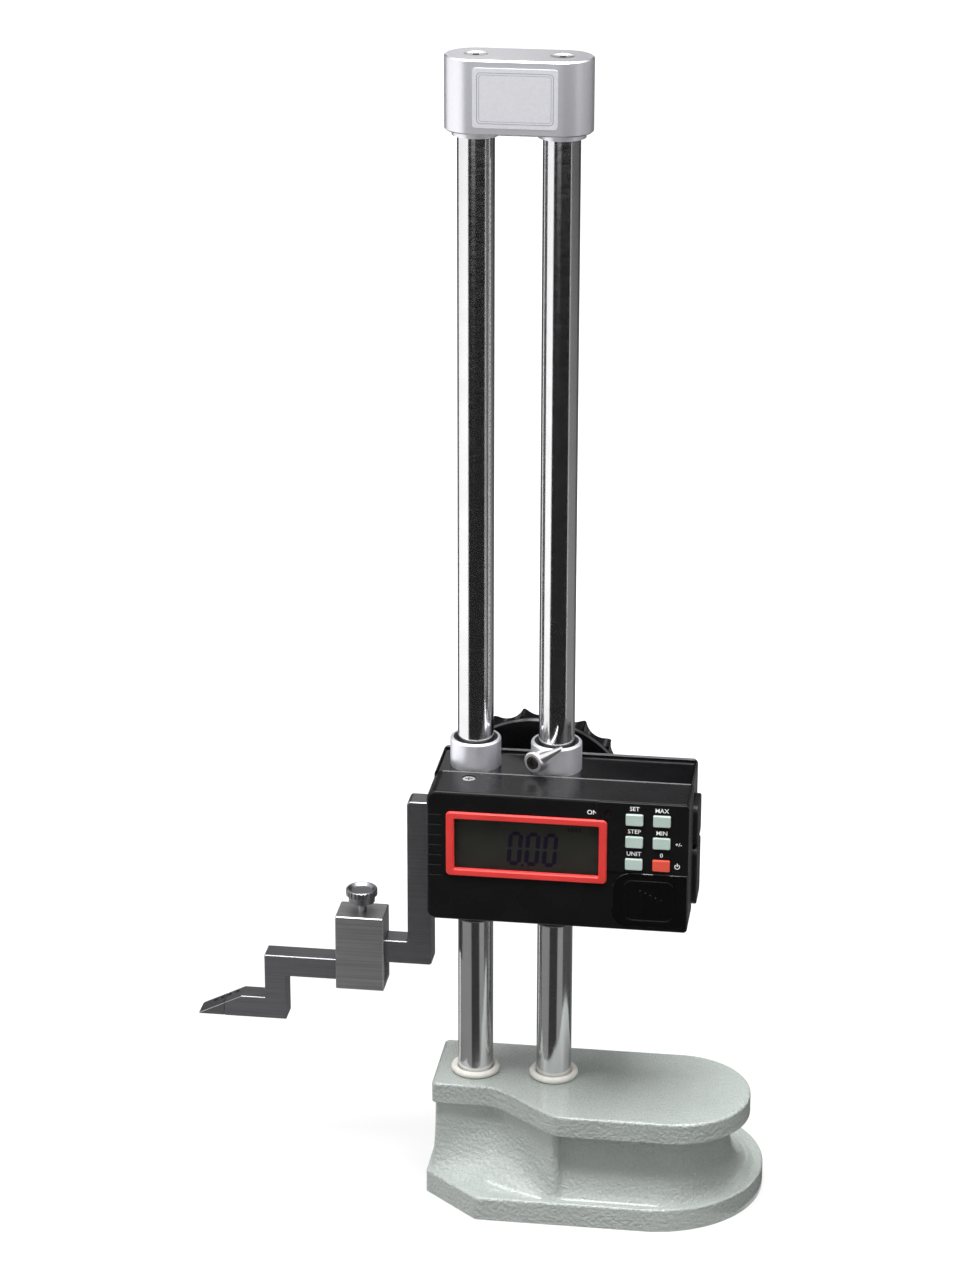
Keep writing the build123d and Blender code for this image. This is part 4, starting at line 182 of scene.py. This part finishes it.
# colour, roughness, direction and depth (mm) of the lines, darkest and lightest streak, grain (mm)
METALS = {
    "ground_steel": ((0.66, 0.655, 0.665), 0.14, ROUND_Z, 0.0002, (0.97, 1.03), 4.0),
    "satin_alloy": ((0.90, 0.90, 0.955), 0.44, EVEN, 0.002, (0.97, 1.03)),
    "screw_steel": ((0.50, 0.49, 0.48), 0.24, EVEN, 0.002, (0.8, 1.2)),
    "name_plate": ((0.84, 0.84, 0.88), 0.55, EVEN, 0.001, (0.97, 1.03)),
    "frame_alloy": ((0.42, 0.43, 0.44), 0.5, EVEN, 0.01, (0.9, 1.1)),
    "bronze": ((0.52, 0.34, 0.15), 0.32, EVEN, 0.002, (0.85, 1.1)),
    "contact_metal": ((0.60, 0.46, 0.22), 0.3, ALONG_X, 0.001, (0.9, 1.1)),
    "battery_steel": ((0.62, 0.61, 0.59), 0.2, EVEN, 0.001, (0.95, 1.05)),
    "gear_steel": ((0.35, 0.35, 0.36), 0.35, EVEN, 0.003, (0.85, 1.1)),
    "lever_steel": ((0.86, 0.85, 0.86), 0.30, EVEN, 0.001, (0.95, 1.05)),
    "tool_steel": ((0.27, 0.265, 0.28), 0.34, ALONG_X, 0.0012, (0.88, 1.14), 0.10),
    "carbide": ((0.24, 0.24, 0.25), 0.30, ALONG_X, 0.001, (0.9, 1.1), 0.08),
    "clamp_steel": ((0.44, 0.44, 0.45), 0.36, ALONG_X, 0.0015, (0.85, 1.15)),
    "cap_silver": ((0.76, 0.76, 0.80), 0.36, EVEN, 0.002, (0.98, 1.02)),
    "dark_screw": ((0.10, 0.095, 0.09), 0.25, EVEN, 0.002, (0.8, 1.2)),
}
# colour, roughness, grain and its depth (mm), how strongly the surface mirrors
PLASTICS = {
    "dark_bush": ((0.025, 0.025, 0.027), 0.42, 0.3, 0.003, 0.3),
    "black_housing": ((0.0040, 0.0038, 0.0043), 0.17, 0.25, 0.0015, 0.20),
    "front_plastic": ((0.0105, 0.0102, 0.0109), 0.27, 0.25, 0.0015, 0.13),
    # the next finish is mid grey: a painted highlight for the beads along the housing's lip
    "lip_black": ((0.15, 0.15, 0.155), 0.16, 0.25, 0.001, 0.6),
    "side_plastic": ((0.013, 0.013, 0.015), 0.4, 0.25, 0.003, 0.3),
    "connector_plastic": ((0.02, 0.02, 0.02), 0.4),
    "red_bezel": (linear(246, 66, 62), 0.40, 0.3, 0.003, 0.35),
    "lcd_panel": (linear(58, 60, 55), 0.55, 0.2, 0.001, 0.15),
    "board": ((0.02, 0.10, 0.05), 0.35, 1.5, 0.01),
    "lens_plastic": ((0.02, 0.010, 0.010), 0.10, 0.3, 0.001),
    "key_grey": (linear(198, 217, 209), 0.45, 0.3, 0.003, 0.35),
    "key_red": (linear(250, 92, 72), 0.42, 0.3, 0.003, 0.35),
    "battery_plastic": ((0.0012, 0.0012, 0.0013), 0.20, 0.25, 0.001, 0.8),
    "wheel_plastic": ((0.006, 0.006, 0.007), 0.22, 0.4, 0.002, 0.4),
    "encoder_plastic": ((0.04, 0.04, 0.045), 0.4),
}
# printed inks, display segments and the painted shade of the scriber's small bores; they share one
# thin, nearly smooth surface
INKS_AND_PAINTED_SHADE = {
    "white_ink": ((1.0, 1.0, 0.98), 0.3),
    "grey_ink": (linear(168, 170, 178), 0.3),
    "violet_segment": (linear(26, 18, 40), 0.2),
    "faint_segment": (linear(36, 36, 36), 0.2),
    "bore_shadow": ((0.004, 0.004, 0.004), 0.3),
}
RUBBERS = {
    "bumper_rubber": (linear(244, 242, 234), 0.5),
    "seal_rubber": ((0.010, 0.010, 0.010), 0.55),
    "mat_rubber": ((0.30, 0.33, 0.32), 0.6),
}

finishes = {"base_paint": enamel(), "window_glass": clear_sheet()}
for make, table in ((ground_metal, METALS), (moulded_plastic, PLASTICS), (rubber, RUBBERS)):
    for name, values in table.items():
        finishes[name] = make(name, *values)
for name, (color, shine) in INKS_AND_PAINTED_SHADE.items():
    finishes[name] = moulded_plastic(name, color, 0.5, 0.2, 0.001, shine)
# The white print also glows faintly: a painted brightness, though it is no lamp.
finishes["white_ink"].set("Emission Color", (1, 1, 1, 1)).set("Emission Strength", 0.15)

for subpart in frame["record"]["subparts"]:
    node = frame["nodes"][subpart["node"]]
    node.data.materials.clear()
    node.data.materials.append(finishes[subpart["material_slot"]].material)

# four nodes look a little different from the rest of their material slot
OWN_FINISH = {
    "scriber_clamp": "clamp_steel",
    "top_cap": "cap_silver",
    "display_housing": "front_plastic",
    "lever_screw": "dark_screw",
}
for name, finish in OWN_FINISH.items():
    frame["nodes"][name].data.materials[0] = finishes[finish].material


# ---------------------------------------------------------------- CAD nodes with broken edges
WELD_DISTANCE = 0.0005      # mm
SHARP_EDGE = 50             # degrees: edges that turn less than this stay as they are


def with_broken_edges(name, body, width_mm):
    """Replaces a node by its copy with sharp edges rounded, as grinding or moulding leaves them."""
    node = frame["nodes"][name]
    piece = bpy.data.objects.new(f"{name}_rounded", node.data.copy())
    bpy.context.scene.collection.objects.link(piece)
    bpy.context.view_layer.update()
    piece.matrix_world = node.matrix_world.copy()
    weld = piece.modifiers.new("joined_edges", "WELD")
    weld.merge_threshold = WELD_DISTANCE * MM
    bevel = piece.modifiers.new("broken_edges", "BEVEL")
    bevel.width = width_mm * MM
    bevel.segments = 2
    bevel.limit_method = "ANGLE"
    bevel.angle_limit = math.radians(SHARP_EDGE)
    bevel.harden_normals = False
    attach(piece, body)
    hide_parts(name)


with_broken_edges("scriber", "scriber_body", 0.42)
with_broken_edges("carbide_tip", "scriber_body", 0.42)
with_broken_edges("battery_cover", "battery_door", 0.16)


# ---------------------------------------------------------------- makers of small pieces
def add_piece(name, points, faces, finish, body):
    """A mesh whose points are in millimetres, riding on a body."""
    mesh = bpy.data.meshes.new(name)
    mesh.from_pydata([[value * MM for value in point] for point in points], [], faces)
    mesh.validate()
    mesh.materials.append(finishes[finish].material)
    piece = bpy.data.objects.new(name, mesh)
    bpy.context.scene.collection.objects.link(piece)
    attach(piece, body)


def flat_piece(name, outlines, back, thickness, finish, body):
    """Thin upright shapes in one piece; each outline is X, Z points, and they stand on Y = back."""
    points, faces = [], []
    for outline in outlines:
        count, first = len(outline), len(points)
        points += [(x, back - thickness, z) for x, z in outline]
        points += [(x, back, z) for x, z in outline]
        faces.append(list(range(first, first + count)))
        faces.append(list(range(first + 2 * count - 1, first + count - 1, -1)))
        for at in range(count):
            following = (at + 1) % count
            faces.append(
                [first + following, first + at, first + count + at, first + count + following])
    add_piece(name, points, faces, finish, body)


def box_outline(left, bottom, right, top, lean=0.0):
    """A rectangle, or a parallelogram whose top is moved by lean."""
    return [(left, bottom), (right, bottom), (right + lean, top), (left + lean, top)]


def arc_outline(x, z, radius, width, start, end, steps=20):
    """A strip bent round a centre, from start to end in degrees."""
    turns = [math.radians(start + (end - start) * step / steps) for step in range(steps + 1)]
    outer, inner = (
        [(x + size * math.cos(turn), z + size * math.sin(turn)) for turn in turns]
        for size in (radius, radius - width))
    return outer + inner[::-1]


def rounded_frame(half_width, bottom, top, line, radius):
    """A line with rounded corners about X = 0, as four strips and four corner arcs."""
    right, left = half_width, -half_width
    outlines = [
        box_outline(left + radius, bottom, right - radius, bottom + line),
        box_outline(left + radius, top - line, right - radius, top),
        box_outline(left, bottom + radius, left + line, top - radius),
        box_outline(right - line, bottom + radius, right, top - radius),
    ]
    corners = (
        (right - radius, top - radius), (left + radius, top - radius),
        (left + radius, bottom + radius), (right - radius, bottom + radius),
    )
    for quarter, (x, z) in enumerate(corners):
        start = 90 * quarter
        outlines.append(arc_outline(x, z, radius - line / 2, line, start, start + 90, 8))
    return outlines


# ---------------------------------------------------------------- the display's reading
LCD_BACK = -33.2            # front face of the LCD module
DIGIT_LEFTS, DIGIT_BOTTOM = (0.4, 7.7, 15.0), 163.9
DIGIT_WIDTH, DIGIT_HEIGHT, DIGIT_STROKE = 6.0, 15.2, 1.8
DIGIT_LEAN = 0.075          # sideways shift for each millimetre of height
SEGMENT_GAP = 0.28
SEGMENT_POINT = 0.7         # length of a segment's point as a share of half its width
MARK_LEAN = 0.1
UNIT_LEFT, UNIT_PITCH, UNIT_WIDTH, UNIT_BOTTOM, UNIT_TOP = 25.7, 1.5, 1.1, 180.2, 181.9
# the six lit segments of a nought: start and end, in digit widths and half digit heights
LIT_SEGMENTS = (
    ((0, 2), (1, 2)), ((1, 2), (1, 1)), ((1, 1), (1, 0)),
    ((0, 0), (1, 0)), ((0, 1), (0, 0)), ((0, 2), (0, 1)),
)


def seven_segment_zero(left):
    """A nought made of pointed strips that lean to the right."""
    half = DIGIT_STROKE / 2
    span_x, span_z = DIGIT_WIDTH - DIGIT_STROKE, (DIGIT_HEIGHT - DIGIT_STROKE) / 2
    outlines = []
    for start, end in LIT_SEGMENTS:
        x0, z0 = start[0] * span_x + half, start[1] * span_z + half
        x1, z1 = end[0] * span_x + half, end[1] * span_z + half
        length = math.hypot(x1 - x0, z1 - z0)
        along = ((x1 - x0) / length, (z1 - z0) / length)
        across = (-along[1], along[0])
        tip = SEGMENT_GAP
        shoulder = tip + SEGMENT_POINT * half
        strip = []
        for travel, side in (
            (tip, 0), (shoulder, half), (length - shoulder, half),
            (length - tip, 0), (length - shoulder, -half), (shoulder, -half),
        ):
            x = x0 + along[0] * travel + across[0] * side
            z = z0 + along[1] * travel + across[1] * side
            strip.append((left + x + DIGIT_LEAN * z, DIGIT_BOTTOM + z))
        outlines.append(strip)
    return outlines


reading = [outline for left in DIGIT_LEFTS for outline in seven_segment_zero(left)]
reading.append(box_outline(6.55, 163.5, 7.55, 164.6, MARK_LEAN))        # the decimal point
flat_piece("lcd_digits", reading, LCD_BACK, 0.06, "violet_segment", "slider")
unit_mark = [
    box_outline(left, UNIT_BOTTOM, left + UNIT_WIDTH, UNIT_TOP, MARK_LEAN)
    for left in (UNIT_LEFT + UNIT_PITCH * mark for mark in range(4))
]
flat_piece("lcd_unit_mark", unit_mark, LCD_BACK, 0.05, "faint_segment", "slider")

# ---------------------------------------------------------------- print on the cap and the housing
PLATE_BACK = -12.9          # front face of the cap's blank plate, which has a double line round it
INK = 0.03                  # thickness of a print
outer_line = rounded_frame(15.1, 468.65, 488.85, line=0.3, radius=1.2)
inner_line = rounded_frame(14.2, 469.55, 487.95, line=0.2, radius=0.8)
flat_piece("plate_border", outer_line + inner_line, PLATE_BACK, INK, "grey_ink", "stand")


def lettering(name, lines, back):
    """White print on the housing: each line is its text, its middle in X and Z, and its height."""
    points, faces = [], []
    for text, middle_x, middle_z, height in lines:
        curve = bpy.data.curves.new("text", "FONT")
        curve.body = text
        curve.resolution_u = 3
        curve.extrude = 0.5     # so the letters run from -0.5 to 0.5 in depth
        curve.offset = 0.008    # slightly bolder than the font
        carrier = bpy.data.objects.new("text", curve)
        bpy.context.scene.collection.objects.link(carrier)
        bpy.context.view_layer.update()
        letters = carrier.evaluated_get(bpy.context.evaluated_depsgraph_get()).to_mesh()
        xs = [vertex.co.x for vertex in letters.vertices]
        ys = [vertex.co.y for vertex in letters.vertices]
        scale = height / (max(ys) - min(ys))
        middle = ((max(xs) + min(xs)) / 2, (max(ys) + min(ys)) / 2)
        first = len(points)
        for vertex in letters.vertices:
            x = middle_x + (vertex.co.x - middle[0]) * scale
            z = middle_z + (vertex.co.y - middle[1]) * scale
            points.append((x, back - INK + (0.5 - vertex.co.z) * INK, z))
        faces += [[first + corner for corner in face.vertices] for face in letters.polygons]
        carrier.to_mesh_clear()
        bpy.data.objects.remove(carrier)
        bpy.data.curves.remove(curve)
    add_piece(name, points, faces, "white_ink", "slider")


PANEL_BACK = -35.5          # front face of the housing round the keys
LENS_FIELD_BACK = -35.0     # and beside the small lens
LEFT_KEYS, RIGHT_KEYS = 53.4, 64.65
legends = [
    ("SET", LEFT_KEYS, 193.15, 1.85), ("MAX", RIGHT_KEYS, 192.9, 1.85),
    ("STEP", LEFT_KEYS, 183.1, 1.85), ("MIN", RIGHT_KEYS, 183.0, 1.85),
    ("UNIT", LEFT_KEYS, 173.2, 1.85), ("0", RIGHT_KEYS, 173.1, 1.85),
    ("+/-", 71.6, 178.3, 1.7),
]
lettering("key_legends", legends, PANEL_BACK)
lettering("lens_legend", [("ON", 36.0, 190.4, 2.0)], LENS_FIELD_BACK)
power_sign = [
    arc_outline(71.2, 168.4, radius=1.15, width=0.32, start=125, end=415),
    box_outline(71.02, 168.5, 71.38, 169.9),
]
flat_piece("power_sign", power_sign, PANEL_BACK, INK, "white_ink", "slider")


# ---------------------------------------------------------------- beads with a painted highlight, and scriber marks with painted shade
def bar(name, profile, left, right):
    """A raised bead along X on the housing, mid grey against the black housing as a painted highlight
    on its lip: its profile is Y, Z points.
    """
    count = len(profile)
    points = [(x, y, z) for x in (left, right) for y, z in profile]
    faces = [list(range(count)), list(range(2 * count - 1, count - 1, -1))]
    for at in range(count):
        following = (at + 1) % count
        faces.append([at, count + at, count + following, following])
    add_piece(name, points, faces, "lip_black", "slider")


SEAM_PROFILE = [(-13.80, 195.7), (-13.50, 196.05), (-13.30, 196.05), (-13.05, 195.7)]
RIM_PROFILE = [(13.75, 195.3), (14.05, 195.95), (14.30, 196.0), (14.60, 195.6)]
# Both beads are mid grey against the black housing: a painted highlight along the lip's rounded edges.
bar("seam_highlight_bead", SEAM_PROFILE, -29.0, 74.4)     # along the joint of the two housing halves
bar("rim_highlight_bead", RIM_PROFILE, -31.2, 73.8)       # along the rear rim of the housing's tray

# four shallow marks in a row down the scriber's sloping top, the last two on the carbide; flat discs,
# near-black as painted shade of small bores
SLOPE_START, SLOPE_END = Vector((-118.9, 0, 80.8)), Vector((-137.8, 0, 71.6))
MARK_TRAVELS = (3.4, 7.2, 10.8, 14.2)
MARK_Y, MARK_RADIUS, MARK_STEPS = 3.1, 1.05, 24
MARK_PROUD, MARK_SUNK = 0.03, 0.02
Y_AXIS = Vector((0, 1, 0))
slope = (SLOPE_END - SLOPE_START).normalized()
slope_up = Vector((slope.z, 0, -slope.x))
mark_faces = [list(range(MARK_STEPS)), list(range(2 * MARK_STEPS - 1, MARK_STEPS - 1, -1))]
for at in range(MARK_STEPS):
    following = (at + 1) % MARK_STEPS
    mark_faces.append([at, MARK_STEPS + at, MARK_STEPS + following, following])
for mark, travel in enumerate(MARK_TRAVELS):
    middle = SLOPE_START + slope * travel + Y_AXIS * MARK_Y
    ring = [
        middle + (slope * math.cos(turn) + Y_AXIS * math.sin(turn)) * MARK_RADIUS
        for turn in (math.tau * step / MARK_STEPS for step in range(MARK_STEPS))
    ]
    disc = [point + slope_up * MARK_PROUD for point in ring]
    disc += [point - slope_up * MARK_SUNK for point in ring]
    add_piece(
        f"scriber_painted_bore_shade_{mark + 1}", disc, mark_faces, "bore_shadow", "scriber_body")


# ---------------------------------------------------------------- backdrop and floor (metres)
WORLD_FILL = 0.14
FLOOR_SIZE, FLOOR_SHADE = 8.0, 0.28
GLOW_NEAR, GLOW_FAR = 0.62, 1.0             # the floor's own light, near the object and away from it
FADE_START, FADE_END = 0.20, 0.75           # distances from the origin between which it rises


def highest(tree, first, second):
    """The larger of two sockets' values."""
    node = tree.nodes.new("ShaderNodeMath")
    node.operation = "MAXIMUM"
    tree.links.new(first, node.inputs[0])
    tree.links.new(second, node.inputs[1])
    return node.outputs[0]


def white_backdrop():
    """World that the camera, gloss and glass see as white, with a lower even fill on matt surfaces."""
    world = bpy.data.worlds.new("studio")
    bpy.context.scene.world = world
    world.use_nodes = True
    tree = world.node_tree
    background = tree.nodes["Background"]
    background.inputs["Color"].default_value = (1, 1, 1, 1)
    rays = tree.nodes.new("ShaderNodeLightPath").outputs
    seen = highest(tree, rays["Is Camera Ray"], rays["Is Glossy Ray"])
    seen = highest(tree, seen, rays["Is Transmission Ray"])
    level = tree.nodes.new("ShaderNodeMapRange")
    level.inputs["To Min"].default_value = WORLD_FILL
    level.inputs["To Max"].default_value = 1.0
    tree.links.new(seen, level.inputs["Value"])
    tree.links.new(level.outputs["Result"], background.inputs["Strength"])


def flat_mesh(name, corners):
    mesh = bpy.data.meshes.new(name)
    mesh.from_pydata(corners, [], [list(range(len(corners)))])
    shape = bpy.data.objects.new(name, mesh)
    bpy.context.scene.collection.objects.link(shape)
    return shape


def floor():
    """White floor that shows a soft shadow near the object and fades to clean white away from it."""
    half = FLOOR_SIZE / 2
    square = box_outline(-half, -half, half, half)
    plane = flat_mesh("floor", [(x, y, 0) for x, y in square])
    finish = Finish("floor_white", (FLOOR_SHADE,) * 3, 0.0, 0.9)
    finish.vary_roughness(finish.noise(60.0), 0.85, 0.95)
    tree = finish.tree
    distance = tree.nodes.new("ShaderNodeVectorMath")
    distance.operation = "LENGTH"
    tree.links.new(finish.place, distance.inputs[0])
    fade = tree.nodes.new("ShaderNodeMapRange")
    fade.inputs["From Min"].default_value = FADE_START
    fade.inputs["From Max"].default_value = FADE_END
    fade.inputs["To Min"].default_value = GLOW_NEAR
    fade.inputs["To Max"].default_value = GLOW_FAR
    tree.links.new(distance.outputs["Value"], fade.inputs["Value"])
    rays = tree.nodes.new("ShaderNodeLightPath").outputs
    glow = tree.nodes.new("ShaderNodeMath")
    glow.operation = "MULTIPLY"
    tree.links.new(fade.outputs["Result"], glow.inputs[0])
    tree.links.new(highest(tree, rays["Is Camera Ray"], rays["Is Glossy Ray"]), glow.inputs[1])
    finish.set("Emission Color", (1, 1, 1, 1))
    tree.links.new(glow.outputs[0], finish.shader.inputs["Emission Strength"])
    plane.data.materials.append(finish.material)


# ---------------------------------------------------------------- cards and lamps (metres)
# What the round columns mirror, on the floor: near ground for their lower ends, far ground for
# their upper ends. Inner and outer radius, from and to angle (degrees from the front towards +X),
# shade. Beyond 2.3 m the front is left open from -20 to 3 degrees, for the front of the cap.
FLOOR_CARDS = (
    (0.10, 0.42, -24, 28, 0.024),
    (0.10, 0.42, 28, 62, 0.19),
    (0.10, 0.42, 62, 132, 0.05),
    (0.10, 0.42, -110, -24, 0.16),
    (0.42, 2.3, -41, 66, 0.012),
    (2.3, 3.6, -41, -20, 0.012),
    (2.3, 3.6, 3, 66, 0.012),
    (0.42, 3.4, 68, 132, 0.18),
    (0.10, 3.4, 132, 238, 0.09),
)
FLOOR_CARD_LIFT = 0.002
# What the housing's top mirrors, upright behind the object: left, right, shade. The gap between
# the two gives the soft bright patch.
REAR_CARDS = {"rear_card_right": (-0.30, 3.0, 0.004), "rear_card_left": (-3.0, -0.47, 0.02)}
REAR_CARD_Y, REAR_CARD_BOTTOM, REAR_CARD_TOP = 2.6, 0.2, 3.2
# place, width and height, watts
LAMPS = {
    "key_left": ((-1.5, -1.1, 1.5), (1.0, 1.6), 11),
    "fill_right": ((1.6, -0.8, 1.1), (0.8, 1.4), 4),
    "top": ((0.0, -0.15, 2.2), (1.6, 1.6), 76),
    "front_strip": ((0.0, -0.72, 2.05), (1.6, 0.4), 13),
}
LAMP_AIM = Vector((0, 0, 0.22))


def reflected_card(name, corners, shade):
    """A matt card that only reflections see; it gives metal and black plastic their dark bands."""
    card = flat_mesh(name, corners)
    matt = Finish(name, (shade, shade, shade), 0.0, 1.0).set("Specular IOR Level", 0.0)
    card.data.materials.append(matt.material)
    card.visible_camera = False
    card.visible_diffuse = False
    card.visible_shadow = False
    card.visible_transmission = False
    card.visible_volume_scatter = False


def floor_wedge(near, far, from_angle, to_angle, steps=12):
    """Corners of a ring sector just above the floor."""
    corners = []
    for radius, turns in ((near, range(steps + 1)), (far, range(steps, -1, -1))):
        for step in turns:
            angle = math.radians(from_angle + (to_angle - from_angle) * step / steps)
            corners.append((radius * math.sin(angle), -radius * math.cos(angle), FLOOR_CARD_LIFT))
    return corners


def softbox(name, place, size, watts):
    light = bpy.data.lights.new(name, "AREA")
    light.shape = "RECTANGLE"
    light.size, light.size_y = size
    light.energy = watts
    lamp = bpy.data.objects.new(name, light)
    bpy.context.scene.collection.objects.link(lamp)
    lamp.location = place
    lamp.rotation_euler = (LAMP_AIM - Vector(place)).to_track_quat("-Z", "Y").to_euler()


white_backdrop()
floor()
for number, (*wedge, shade) in enumerate(FLOOR_CARDS):
    reflected_card(f"floor_card_{number + 1}", floor_wedge(*wedge), shade)
for name, (left, right, shade) in REAR_CARDS.items():
    upright = box_outline(left, REAR_CARD_BOTTOM, right, REAR_CARD_TOP)
    reflected_card(name, [(x, REAR_CARD_Y, z) for x, z in upright], shade)
for name, lamp_values in LAMPS.items():
    softbox(name, *lamp_values)

# ---------------------------------------------------------------- camera, fitted to the photograph
CAMERA_AT = Vector((176.1, -1358.5, 771.5)) * MM
CAMERA_AIM = Vector((-15.255, 0, 249.664)) * MM
CAMERA_ROLL = 0.043         # degrees
camera_data = bpy.data.cameras.new("camera")
camera_data.sensor_fit = "AUTO"
camera_data.sensor_width = 36
camera_data.lens = 99.955
camera_data.clip_start = 0.05
camera = bpy.data.objects.new("camera", camera_data)
bpy.context.scene.collection.objects.link(camera)
camera.matrix_world = (
    Matrix.Translation(CAMERA_AT)
    @ (CAMERA_AIM - CAMERA_AT).to_track_quat("-Z", "Y").to_matrix().to_4x4()
    @ Matrix.Rotation(math.radians(CAMERA_ROLL), 4, "Z")
)
bpy.context.scene.camera = camera
bpy.context.scene.view_settings.view_transform = "Standard"
